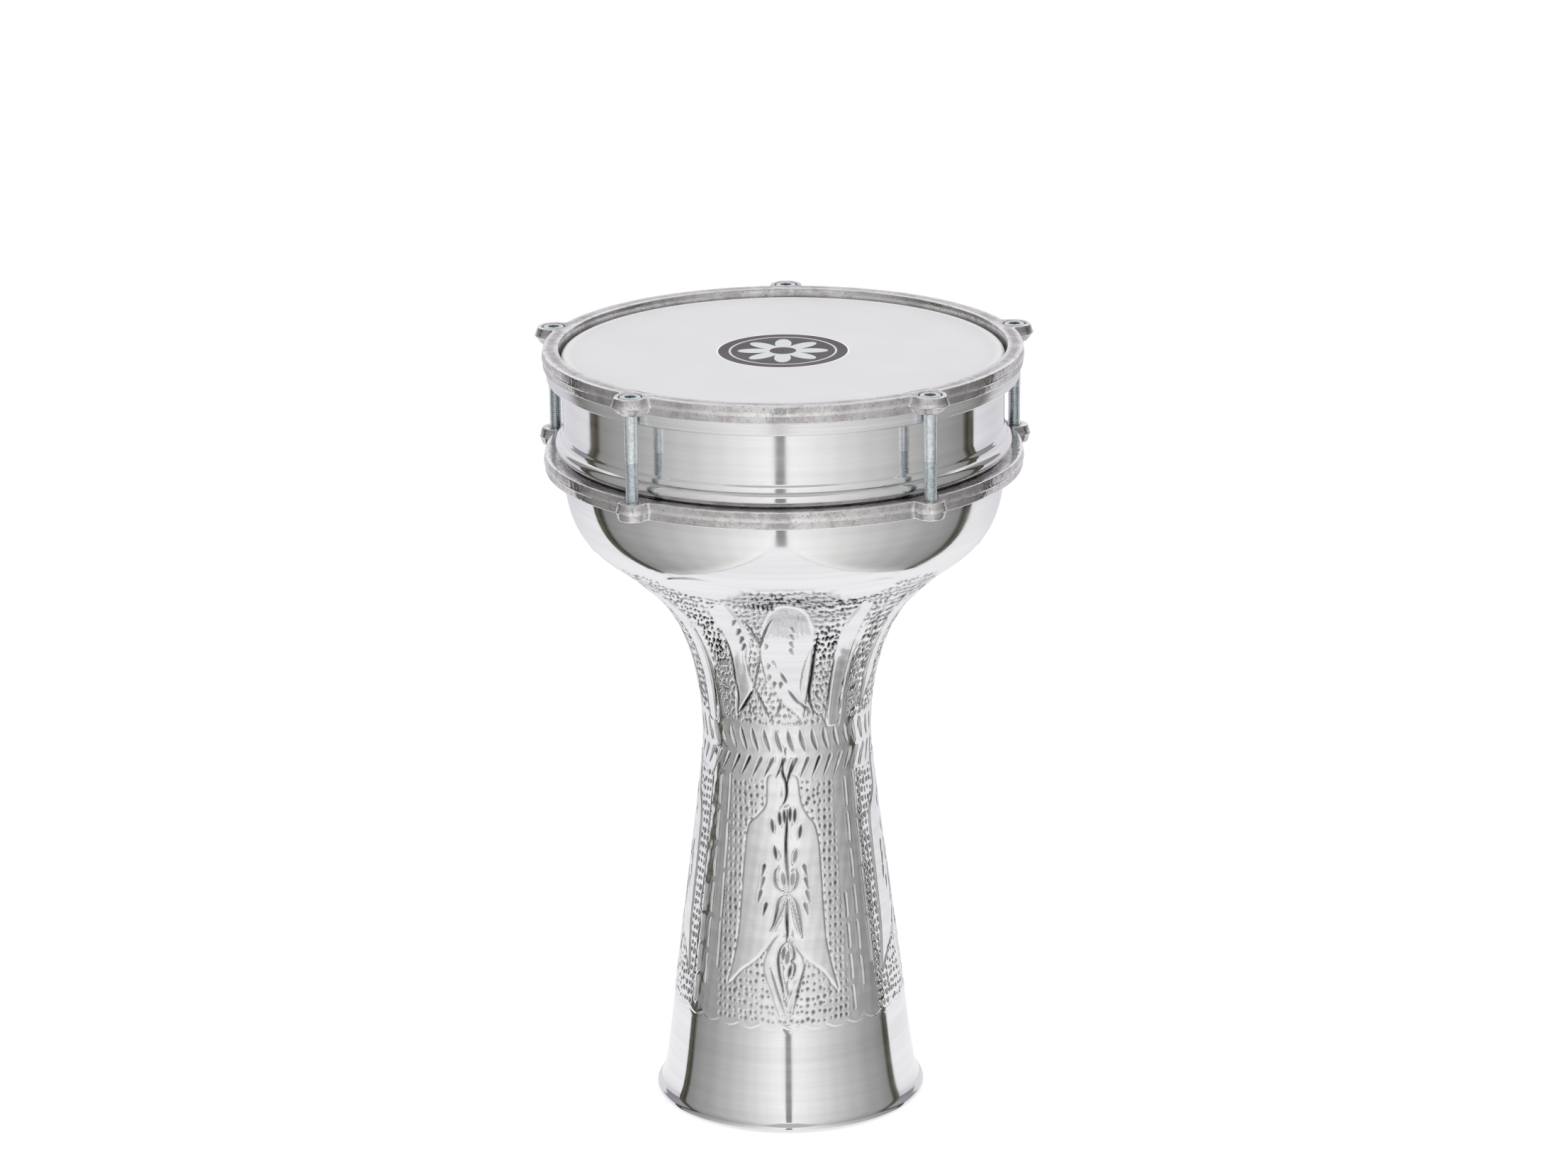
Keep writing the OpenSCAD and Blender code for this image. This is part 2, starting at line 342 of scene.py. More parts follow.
def turned_lines_group() -> bpy.types.NodeTree:
    """Node group for the fine rings that turning or polishing leaves round the axis."""
    name = "TurnedLines"
    if name in bpy.data.node_groups:
        return bpy.data.node_groups[name]
    tree = bpy.data.node_groups.new(name, "ShaderNodeTree")
    tree.interface.new_socket("Spacing", in_out="INPUT", socket_type="NodeSocketFloat")
    tree.interface.new_socket("Height", in_out="OUTPUT", socket_type="NodeSocketFloat")
    tree.interface.new_socket("Streaks", in_out="OUTPUT", socket_type="NodeSocketFloat")
    sheet = NodeSheet(tree)
    given = sheet.add("NodeGroupInput")
    out = sheet.add("NodeGroupOutput")
    density = sheet.math("DIVIDE", 1.0, given.outputs["Spacing"])
    coords = sheet.place()
    parts = sheet.add("ShaderNodeSeparateXYZ", {0: coords})
    flat = sheet.add("ShaderNodeCombineXYZ", {
        0: sheet.math("MULTIPLY", parts.outputs[0], 9.0), 1: sheet.math("MULTIPLY", parts.outputs[1], 9.0),
        2: sheet.math("MULTIPLY", parts.outputs[2], density)}).outputs[0]
    wide = sheet.add("ShaderNodeCombineXYZ", {
        0: sheet.math("MULTIPLY", parts.outputs[0], 4.0), 1: sheet.math("MULTIPLY", parts.outputs[1], 4.0),
        2: sheet.math("MULTIPLY", parts.outputs[2], 190.0)}).outputs[0]
    sheet.put(sheet.noise(flat, 1.0, 4.0, 0.65), out.inputs["Height"])
    sheet.put(sheet.noise(wide, 1.0, 3.0, 0.6), out.inputs["Streaks"])
    return tree


def speckle_group() -> bpy.types.NodeTree:
    """Node group for the pits and blotches of a tumbled casting."""
    name = "CastSpeckle"
    if name in bpy.data.node_groups:
        return bpy.data.node_groups[name]
    tree = bpy.data.node_groups.new(name, "ShaderNodeTree")
    tree.interface.new_socket("Grain", in_out="INPUT", socket_type="NodeSocketFloat")
    tree.interface.new_socket("Pits", in_out="OUTPUT", socket_type="NodeSocketFloat")
    tree.interface.new_socket("Blotches", in_out="OUTPUT", socket_type="NodeSocketFloat")
    tree.interface.new_socket("Lumps", in_out="OUTPUT", socket_type="NodeSocketFloat")
    sheet = NodeSheet(tree)
    given = sheet.add("NodeGroupInput")
    out = sheet.add("NodeGroupOutput")
    coords = sheet.place()
    fine = sheet.add("ShaderNodeTexNoise", {"Vector": coords, "Scale": given.outputs["Grain"], "Detail": 4.0,
                                            "Roughness": 0.7}).outputs["Fac"]
    sheet.put(sheet.span(fine, 0.33, 0.43, 0.0, 1.0), out.inputs["Pits"])
    blotch = sheet.noise(coords, 60.0, 6.0, 0.72)
    sheet.put(sheet.span(blotch, 0.36, 0.58), out.inputs["Blotches"])
    sheet.put(sheet.noise(coords, 260.0, 3.0, 0.55), out.inputs["Lumps"])
    return tree


@dataclass(frozen=True)
class Surface:
    """A material with one Principled shader, drawn once and shared by its pieces."""

    name: str

    def material(self) -> bpy.types.Material:
        """Returns the material, drawing it the first time."""
        if self.name in bpy.data.materials:
            return bpy.data.materials[self.name]
        material = bpy.data.materials.new(self.name)
        material.use_nodes = True
        sheet = NodeSheet(material.node_tree)
        self.draw(sheet, material.node_tree.nodes["Principled BSDF"])
        return material

    def draw(self, sheet: NodeSheet, shader: bpy.types.Node) -> None:
        """Fills the shader's inputs."""
        raise NotImplementedError

    @staticmethod
    def metal(sheet: NodeSheet, shader: bpy.types.Node, colour: object, rough: object,
              normal: object) -> None:
        """Fills the inputs that every bare metal sets."""
        shader.inputs["Metallic"].default_value = 1.0
        sheet.put(colour, shader.inputs["Base Color"])
        sheet.put(rough, shader.inputs["Roughness"])
        sheet.put(normal, shader.inputs["Normal"])


@dataclass(frozen=True)
class PolishedMetal(Surface):
    """Polished cast aluminium with the rings that polishing leaves."""

    colour: Colour = (0.865, 0.86, 0.866, 1.0)
    roughness: float = 0.07
    line_spacing: float = 0.0009
    line_depth: float = 0.0000035
    chased: bool = False
    # near-black painted shade for the bottoms of the chased cuts and punch marks
    recess_shade_colour: Colour = (0.025, 0.022, 0.022, 1.0)
    hammer_depth: float = 0.00006

    def draw(self, sheet: NodeSheet, shader: bpy.types.Node) -> None:
        """Turned streaks and smears, with painted shade in the cuts and punch marks and hammer marks where
        the metal is chased.
        """
        lines = sheet.add("ShaderNodeGroup", node_tree=turned_lines_group())
        lines.inputs["Spacing"].default_value = self.line_spacing
        coords = sheet.place()
        smears = sheet.noise(coords, 22.0, 4.0, 0.6)
        shade = sheet.span(lines.outputs["Streaks"], 0.3, 0.72, 0.0, 1.0)
        dull = tuple(0.9 * c for c in self.colour[:3]) + (1.0,)
        colour = sheet.mix(shade, dull, self.colour)
        rough = sheet.math("ADD", sheet.span(smears, 0.35, 0.7, self.roughness * 0.7, self.roughness * 1.7),
                           sheet.math("MULTIPLY", shade, 0.03))
        normal = sheet.bump(lines.outputs["Height"], self.line_depth)
        if self.chased:
            # painted shade: the near-black colour is mixed in where the mesh marks the bottoms of cuts and
            # punch marks, unevenly along the smears
            patchy = sheet.span(smears, 0.4, 0.56, 0.55, 1.15)
            recess_shade = sheet.math("MULTIPLY", sheet.attribute("recess_shade"), patchy)
            colour = sheet.mix(recess_shade, colour, self.recess_shade_colour)
            rough = sheet.math("ADD", rough, sheet.math("MULTIPLY", recess_shade, 0.35))
            hammer = sheet.noise(coords, 300.0, 2.0, 0.5)
            normal = sheet.bump(hammer, self.hammer_depth, 0.5, normal)
        self.metal(sheet, shader, colour, rough, normal)


@dataclass(frozen=True)
class CastMetal(Surface):
    """Tumbled aluminium casting: pitted, blotched, and rubbed bright along its edges."""

    light: Colour = (0.60, 0.58, 0.585, 1.0)
    dark: Colour = (0.36, 0.335, 0.34, 1.0)
    bright: Colour = (0.95, 0.945, 0.95, 1.0)
    pit: Colour = (0.16, 0.14, 0.145, 1.0)
    grain: float = 950.0
    pit_depth: float = 0.00006
    lump_depth: float = 0.00035

    def draw(self, sheet: NodeSheet, shader: bpy.types.Node) -> None:
        """Blotches and dark pits, brighter and smoother where the mesh says the edge is worn."""
        speckle = sheet.add("ShaderNodeGroup", node_tree=speckle_group())
        speckle.inputs["Grain"].default_value = self.grain
        pits, blotches, lumps = (speckle.outputs[n] for n in ("Pits", "Blotches", "Lumps"))
        worn = sheet.attribute("worn")
        edge = sheet.math("MULTIPLY", worn, sheet.span(lumps, 0.3, 0.5, 0.5, 1.0))
        body = sheet.mix(blotches, self.dark, self.light)
        body = sheet.mix(sheet.math("SUBTRACT", 1.0, pits), body, self.pit)
        colour = sheet.mix(edge, body, self.bright)
        rough = sheet.math("SUBTRACT", sheet.span(blotches, 0.0, 1.0, 0.26, 0.16),
                           sheet.math("MULTIPLY", edge, 0.14))
        normal = sheet.bump(pits, self.pit_depth, 0.7)
        normal = sheet.bump(lumps, self.lump_depth, 0.6, normal)
        self.metal(sheet, shader, colour, rough, normal)


@dataclass(frozen=True)
class RolledMetal(Surface):
    """Bright rolled aluminium with drawing lines along the strip."""

    colour: Colour = (0.87, 0.87, 0.875, 1.0)
    line_colour: Colour = (0.74, 0.74, 0.745, 1.0)
    line_spacing: float = 0.0006
    line_depth: float = 0.00001

    def draw(self, sheet: NodeSheet, shader: bpy.types.Node) -> None:
        """Fine lines in colour, roughness and relief."""
        lines = sheet.add("ShaderNodeGroup", node_tree=turned_lines_group())
        lines.inputs["Spacing"].default_value = self.line_spacing
        height = lines.outputs["Height"]
        colour = sheet.mix(sheet.span(height, 0.3, 0.7), self.line_colour, self.colour)
        self.metal(sheet, shader, colour, sheet.span(height, 0.3, 0.7, 0.3, 0.2),
                   sheet.bump(height, self.line_depth))


@dataclass(frozen=True)
class ZincSteel(Surface):
    """Bright zinc plate, slightly blue, with faint mottling."""

    colour: Colour = (0.80, 0.84, 0.86, 1.0)
    dull_colour: Colour = (0.62, 0.67, 0.69, 1.0)
    mottle_depth: float = 0.00001

    def draw(self, sheet: NodeSheet, shader: bpy.types.Node) -> None:
        """Mottling in colour, roughness and relief."""
        coords = sheet.place()
        mottle = sheet.noise(coords, 700.0, 4.0, 0.6)
        colour = sheet.mix(sheet.span(mottle, 0.35, 0.65), self.dull_colour, self.colour)
        self.metal(sheet, shader, colour, sheet.span(mottle, 0.3, 0.7, 0.16, 0.3),
                   sheet.bump(mottle, self.mottle_depth, 0.5))


@dataclass(frozen=True)
class HeadFilm(Surface):
    """White satin polyester film with a printed rosette at its centre."""

    colour: Colour = (0.70, 0.70, 0.715, 1.0)
    ink: Colour = (0.085, 0.07, 0.085, 1.0)
    petal_colour: Colour = (0.66, 0.69, 0.69, 1.0)
    rim_colour: Colour = (0.93, 0.93, 0.94, 1.0)
    hem_colour: Colour = (0.84, 0.84, 0.845, 1.0)
    badge_r: float = 30.8
    badge_rim: float = 0.7
    petal_pairs: float = 4.0
    petal_low: float = 8.5
    petal_long: float = 12.5
    core_r: float = 6.2
    ring_in: float = 24.2
    ring_out: float = 25.2
    hem_in: float = 97.5
    hem_out: float = 101.2
    grain_depth: float = 0.000006

    def draw(self, sheet: NodeSheet, shader: bpy.types.Node) -> None:
        """Clouded white with a paler hem, and the rosette on its dark, light-rimmed disc."""
        coords = sheet.place()
        cloud = sheet.noise(coords, 30.0, 3.0, 0.5)
        pale_film = tuple(1.03 * c for c in self.colour[:3]) + (1.0,)
        film = sheet.mix(sheet.span(cloud, 0.3, 0.7), self.colour, pale_film)
        parts = sheet.add("ShaderNodeSeparateXYZ", {0: coords})
        x, y = parts.outputs[0], parts.outputs[1]
        r = sheet.math("SQRT", sheet.math("ADD", sheet.math("MULTIPLY", x, x), sheet.math("MULTIPLY", y, y)))
        angle = sheet.math("ARCTAN2", y, x)
        disc = self.below(sheet, r, self.badge_r - self.badge_rim)
        rim = sheet.math("MULTIPLY", self.below(sheet, r, self.badge_r), sheet.math("SUBTRACT", 1.0, disc))
        petals = sheet.math("ABSOLUTE", sheet.math("COSINE", sheet.math("MULTIPLY", angle, self.petal_pairs)))
        reach = sheet.math("ADD", self.petal_low * MM, sheet.math("MULTIPLY", petals, self.petal_long * MM))
        star = sheet.span(sheet.math("SUBTRACT", r, reach), 0.0002, -0.0002)
        core = self.below(sheet, r, self.core_r)
        ring = sheet.math("MULTIPLY", self.below(sheet, r, self.ring_out),
                          sheet.math("SUBTRACT", 1.0, self.below(sheet, r, self.ring_in)))
        petal = sheet.math("MULTIPLY", star, sheet.math("SUBTRACT", 1.0, core))
        pale = sheet.math("ADD", petal, ring, clamp=True)
        printed = sheet.mix(pale, self.ink, self.petal_colour)
        hem = sheet.span(r, self.hem_in * MM, self.hem_out * MM)
        film = sheet.mix(hem, film, self.hem_colour)
        colour = sheet.mix(rim, film, self.rim_colour)
        colour = sheet.mix(disc, colour, printed)
        sheet.put(colour, shader.inputs["Base Color"])
        sheet.put(sheet.span(cloud, 0.3, 0.7, 0.46, 0.56), shader.inputs["Roughness"])
        sheet.put(sheet.bump(sheet.noise(coords, 1500.0, 2.0), self.grain_depth), shader.inputs["Normal"])
        shader.inputs["Specular IOR Level"].default_value = 0.35

    @staticmethod
    def below(sheet: NodeSheet, r: object, limit: float) -> bpy.types.NodeSocket:
        """One inside a radius in millimetres, nought outside it."""
        return sheet.span(r, (limit + 0.12) * MM, (limit - 0.12) * MM)


@dataclass(frozen=True)
class CastResin(Surface):
    """Amber resin poured in the flesh hoop."""

    deep: Colour = (0.42, 0.31, 0.14, 1.0)
    clear: Colour = (0.62, 0.5, 0.28, 1.0)

    def draw(self, sheet: NodeSheet, shader: bpy.types.Node) -> None:
        """Clouded amber."""
        cloud = sheet.noise(sheet.place(), 120.0)
        sheet.put(sheet.mix(cloud, self.deep, self.clear), shader.inputs["Base Color"])
        sheet.put(sheet.span(cloud, 0.2, 0.8, 0.3, 0.5), shader.inputs["Roughness"])


@dataclass(frozen=True)
class PaleFloor(Surface):
    """Plain white floor that gives most of its own light."""

    low: Colour = (0.2, 0.2, 0.2, 1.0)
    high: Colour = (0.22, 0.22, 0.22, 1.0)
    glow: float = 0.83

    def draw(self, sheet: NodeSheet, shader: bpy.types.Node) -> None:
        """Nearly even white, without a gleam."""
        cloud = sheet.noise(sheet.place(), 3.0)
        sheet.put(sheet.mix(cloud, self.low, self.high), shader.inputs["Base Color"])
        shader.inputs["Emission Color"].default_value = (1.0, 1.0, 1.0, 1.0)
        shader.inputs["Emission Strength"].default_value = self.glow
        shader.inputs["Roughness"].default_value = 0.9
        shader.inputs["Specular IOR Level"].default_value = 0.0


SHELL_METAL = PolishedMetal("PolishedGoblet")
CHASED_METAL = PolishedMetal("ChasedGoblet", roughness=0.09, chased=True)
CAST_METAL = CastMetal("TumbledCasting")
ROLLED_METAL = RolledMetal("RolledStrip")
ZINC_STEEL = ZincSteel("ZincBolt")
HEAD_FILM = HeadFilm("PrintedFilm")
RESIN = CastResin("HoopResin")
FLOOR = PaleFloor("WhiteFloor")


def finish_piece(obj: bpy.types.Object, surface: Surface, body: str,
                 nodes: Sequence[str] = ()) -> None:
    """Dresses a piece, ties it to its CAD body and hides the CAD nodes it stands for."""
    obj.data.materials.clear()
    obj.data.materials.append(surface.material())
    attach(obj, body)
    if nodes:
        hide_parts(*nodes)
    LOG.info("%s: %d faces on %s", obj.name, len(obj.data.polygons), body)


# --------------------------------------------------------------------------------------------------
# Shell
# --------------------------------------------------------------------------------------------------

@dataclass(frozen=True)
class ShellShape:
    """Outline of the shell: heights and the wall's radius from the CAD boxes, and its named sizes."""

    edge_z: float
    bead_bottom_z: float
    ring_z: float
    wall_r: float
    wall_t: float = 2.4
    neck_r: float = 39.8
    shoulder_r: float = 72.0
    shoulder_drop: float = 50.7
    neck_drop: float = 82.2
    shoulder_lean: float = 41.5
    tail_r: float = 56.5
    tail_z: float = 39.0
    foot_r: float = 64.4
    foot_w: float = 2.9
    rim_round: float = 2.0
    rim_lean: float = 61.0
    bead_r: float = 3.7
    bead_sink: float = 0.1
    land_step: float = 1.3
    land_h: float = 3.5
    edge_round: float = 1.6
    bowl_below: float = 0.3

    @classmethod
    def from_frame(cls) -> "ShellShape":
        """Reads the CAD boxes of the shell and the backing ring."""
        shell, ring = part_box("shell"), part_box("lower_ring")
        return cls(edge_z=shell[1].z / MM, bead_bottom_z=ring[1].z / MM, ring_z=ring[0].z / MM,
                   wall_r=shell[1].x / MM - cls.bead_r + cls.bead_sink)

    @property
    def bowl_top_z(self) -> float:
        """Height where the bowl meets the wall, hidden by the backing ring."""
        return self.ring_z - self.bowl_below

    @property
    def shoulder_z(self) -> float:
        """Height where the hollow of the neck turns into the bowl."""
        return self.bowl_top_z - self.shoulder_drop

    @property
    def neck_z(self) -> float:
        """Height of the narrowest place."""
        return self.shoulder_z - self.neck_drop

    @property
    def tail_lean(self) -> float:
        """Inward lean of the tail, in degrees from upright."""
        return math.degrees(math.atan((self.tail_r - self.neck_r) / (self.neck_z - self.tail_z)))

    def body_curve(self, steps: int) -> Array:
        """Outside from the tail point up to the bowl's top."""
        tail, neck = (self.tail_r, self.tail_z), (self.neck_r, self.neck_z)
        shoulder, bowl = (self.shoulder_r, self.shoulder_z), (self.wall_r, self.bowl_top_z)
        rise, lean = self.neck_z - self.tail_z, self.shoulder_lean
        low = bezier(tail, up_in(tail, 0.32 * rise, self.tail_lean), (neck[0], neck[1] - 0.13 * rise),
                     neck, steps)
        hollow = bezier(neck, (neck[0], neck[1] + 0.764 * self.neck_drop), up_in(shoulder, -8.4, -lean),
                        shoulder, steps)
        full = bezier(shoulder, up_in(shoulder, 15.0, -lean), (bowl[0], bowl[1] - 0.745 * self.shoulder_drop),
                      bowl, steps)
        return np.vstack([low, hollow[1:], full[1:]])

    def rim_curve(self, steps: int) -> Array:
        """Outside from the floor round the rim and up the flare to the tail point."""
        tail = (self.tail_r, self.tail_z)
        rim = arc((self.foot_r - self.rim_round, self.rim_round), self.rim_round, -90, self.rim_lean, 8)
        start = (rim[-1][0], rim[-1][1])
        flare = bezier(start, up_in(start, 3.3, self.rim_lean),
                       up_in(tail, -0.57 * self.tail_z, self.tail_lean), tail, steps)
        return np.vstack([rim, flare[1:]])

    def collar_curve(self) -> Array:
        """Outside from the bead's underside to the bearing edge."""
        centre = (self.wall_r - self.bead_sink, self.bead_bottom_z + self.bead_r)
        low = -math.degrees(math.acos(self.bead_sink / self.bead_r))
        high = math.degrees(math.acos((self.land_step + self.bead_sink) / self.bead_r))
        bead = arc(centre, self.bead_r, low, high, 28)
        land_r, land_z = self.wall_r + self.land_step, bead[-1][1]
        land = bezier((land_r, land_z + 0.25 * self.land_h), (land_r, land_z + 0.75 * self.land_h),
                      (self.wall_r + 0.15, land_z + 0.75 * self.land_h),
                      (self.wall_r, land_z + 1.15 * self.land_h), 8)
        edge = arc((self.wall_r - self.edge_round, self.edge_z - self.edge_round), self.edge_round, 0, 90, 8)
        wall = np.column_stack([np.full(9, self.wall_r), np.linspace(land[-1][1], edge[0][1], 11)[1:-1]])
        return np.vstack([bead, land, wall, edge])

    def inner_curve(self, steps: int) -> Array:
        """Inside from the bearing edge down to the floor."""
        body = inset(self.body_curve(steps), self.wall_t)
        foot_in = self.foot_r - self.rim_round - self.foot_w
        flare = bezier((foot_in, 0.0), (foot_in, 0.2 * self.tail_z),
                       up_in(tuple(body[0]), -0.5 * self.tail_z, self.tail_lean), tuple(body[0]), steps)
        inner_r, chamfer = self.wall_r - self.wall_t, 0.4
        top = np.array([[inner_r + chamfer, self.edge_z], [inner_r, self.edge_z - chamfer]])
        return np.vstack([top, body[::-1], flare[:-1][::-1]])

    def outside(self) -> Array:
        """Finely sampled outside from the rim to the bowl's top, evenly spaced."""
        return resample(np.vstack([self.rim_curve(60), self.body_curve(60)[1:]]), 0.25)

    def radius_at(self, z: Array) -> Array:
        """Outside radius at each height between the flare and the bowl's top."""
        path = self.outside()
        return np.interp(z, path[:, 1], path[:, 0])


@dataclass(frozen=True)
class Stroke:
    """One line chased into the metal, its points given as degrees from the panel's middle and height."""

    points: tuple[Point, ...]
    width: float = 1.3
    depth: float = 0.6
    taper: Taper = Taper.BOTH
    lip: float = 0.12


@dataclass(frozen=True)
class Leaf:
    """A closed smooth shape that stands proud of the punched ground."""

    points: tuple[Point, ...]
    rise: float = 0.35
    border: float = 0.45


@dataclass
class Relief:
    """Height of the chased surface over a patch, in millimetres, with the painted shade that darkens its cuts
    and punch marks.

    Args:
        turn: Degrees from the panel's middle, per vertex.
        z: Height, per vertex.
        radius: The plain surface's radius, per vertex.
        shape: The shell's outline.
        seed: Changes the punched ground from panel to panel.
        widen: How much wider every stroke is cut than its drawing says.
        deepen: How much deeper.
    """

    turn: Array
    z: Array
    radius: Array
    shape: ShellShape
    seed: int = 1
    widen: float = 1.15
    deepen: float = 1.25
    height: Array = field(init=False)
    recess_shade: Array = field(init=False)
    # painted shade per vertex, from nought to one at the darkest
    x: Array = field(init=False)

    def __post_init__(self) -> None:
        """Starts with a smooth surface without painted shade."""
        self.height = np.zeros_like(self.z)
        self.recess_shade = np.zeros_like(self.z)
        self.x = self.radius * np.radians(self.turn)

    def flat(self, points: Sequence[Point]) -> Array:
        """Takes points from degrees and height to millimetres along the surface."""
        p = np.asarray(points, float)
        return np.column_stack([self.shape.radius_at(p[:, 1]) * np.radians(p[:, 0]), p[:, 1]])

    def distances(self, path: Array, chosen: Array) -> tuple[Array, Array]:
        """Distance to a path, and the share of the path's length where it is nearest, for chosen vertices."""
        run = np.r_[0, np.cumsum(np.linalg.norm(np.diff(path, axis=0), axis=1))]
        x, z = self.x[chosen], self.z[chosen]
        best, share = np.full(len(x), 1e9), np.zeros(len(x))
        for a, b, at, step in zip(path[:-1], path[1:], run[:-1], np.diff(run)):
            if step < 1e-9:
                continue
            d = (b - a) / step
            t = np.clip((x - a[0]) * d[0] + (z - a[1]) * d[1], 0, step)
            away = np.hypot(x - a[0] - t * d[0], z - a[1] - t * d[1])
            nearer = away < best
            best[nearer], share[nearer] = away[nearer], (at + t[nearer]) / run[-1]
        return best, share

    def near(self, path: Array, margin: float) -> Array:
        """Vertices inside a path's box, widened by a margin."""
        low, high = path.min(0) - margin, path.max(0) + margin
        return np.flatnonzero((self.x > low[0]) & (self.x < high[0]) & (self.z > low[1]) & (self.z < high[1]))

    def cut(self, stroke: Stroke) -> None:
        """Presses one stroke, with a low lip thrown up on both sides and painted shade along the bottom of
        the cut.
        """
        path = self.flat(smooth_path(stroke.points) if len(stroke.points) > 2 else stroke.points)
        stroke = replace(stroke, width=self.widen * stroke.width, depth=self.deepen * stroke.depth)
        chosen = self.near(path, stroke.width + 1.5)
        if not len(chosen):
            return
        away, share = self.distances(path, chosen)
        if stroke.taper is Taper.BOTH:
            half = np.sin(np.pi * np.clip(share, 0.02, 0.98)) ** 0.55
        elif stroke.taper is Taper.TAIL:
            half = np.minimum(1.0, share * 7 + 0.35) * (1.02 - share) ** 0.6
        else:
            half = np.ones_like(share)
        half = np.maximum(stroke.width * half / 2, 0.12)
        bowl = np.clip(1 - (away / half) ** 2, 0, 1) ** 0.8
        lip = bell(away - half - 0.35, 0.35) * (half > 0.2)
        depth = stroke.depth * np.clip(half / (stroke.width / 2), 0.3, 1)
        self.height[chosen] += stroke.lip * lip - depth * bowl
        # painted shade along the bottom of the cut, darker for deeper strokes
        dark = np.clip(1.7 * stroke.depth - 0.42, 0, 1) * bowl**1.5
        self.recess_shade[chosen] = np.maximum(self.recess_shade[chosen], dark)

    def inside(self, path: Array) -> Array:
        """Signed distance to a closed path, positive inside it."""
        everyone = np.arange(len(self.x))
        away, _ = self.distances(path, everyone)
        within = np.zeros(len(self.x), bool)
        for a, b in zip(path[:-1], path[1:]):
            if a[1] == b[1]:
                continue
            crosses = (a[1] > self.z) != (b[1] > self.z)
            within ^= crosses & (self.x < (b[0] - a[0]) * (self.z - a[1]) / (b[1] - a[1]) + a[0])
        return np.where(within, away, -away)

    def hashed(self, i: Array, j: Array, salt: int) -> Array:
        """A repeatable number between nought and one for each cell."""
        h = np.sin(i * 127.1 + j * 311.7 + salt * 74.7 + self.seed * 19.3) * 43758.5453
        return h - np.floor(h)

    def punched(self, size: Point, jitter: float, radius: float, slant: float = 0.0) -> Array:
        """Round punch marks in jittered cells, one inside a mark and nought between them.

        Args:
            size: Width and height of a cell.
            jitter: How far a mark strays from its cell's middle, as a share of the cell.
            radius: Radius of a mark, as a share of the cell.
            slant: Sideways lean of the cells per millimetre of height.

        Returns:
            How strongly each vertex is struck.
        """
        u, v = (self.x + slant * self.z) / size[0], self.z / size[1]
        iu, iv = np.floor(u), np.floor(v)
        best = np.zeros_like(u)
        for di in (-1, 0, 1):
            for dj in (-1, 0, 1):
                i, j = iu + di, iv + dj
                cu = i + 0.5 + jitter * (self.hashed(i, j, 1) - 0.5)
                cv = j + 0.5 + jitter * (self.hashed(i, j, 2) - 0.5)
                r = radius * (0.65 + 0.7 * self.hashed(i, j, 3))
                best = np.maximum(best, np.clip(1 - ((u - cu) ** 2 + (v - cv) ** 2) / r**2, 0, 1))
        return best


def ease(value: Array, low: float, high: float) -> Array:
    """Smooth step from nought at low to one at high."""
    t = np.clip((value - low) / (high - low), 0, 1)
    return t * t * (3 - 2 * t)


def fall(value: Array, low: float, high: float) -> Array:
    """Smooth step from one at low to nought at high."""
    return 1 - ease(value, low, high)


def bell(value: Array, width: float) -> Array:
    """A rounded peak of one where the value is nought."""
    return np.exp(-(value / width) ** 2)


def hump(value: Array, middle: float, half: float) -> Array:
    """A parabola of one at its middle that ends at nought on both sides."""
    return np.clip(1 - ((value - middle) / half) ** 2, 0, 1)


def seed_row(turn: float, heights: Sequence[float], lean: float = 0.0, length: float = 4.0,
             width: float = 1.6) -> list[Stroke]:
    """A column of short seed-shaped strokes."""
    side, rise = lean / 2, length / 2
    return [Stroke(((turn + side, z + rise), (turn - side, z - rise)), width, 0.55, Taper.TAIL)
            for z in heights]


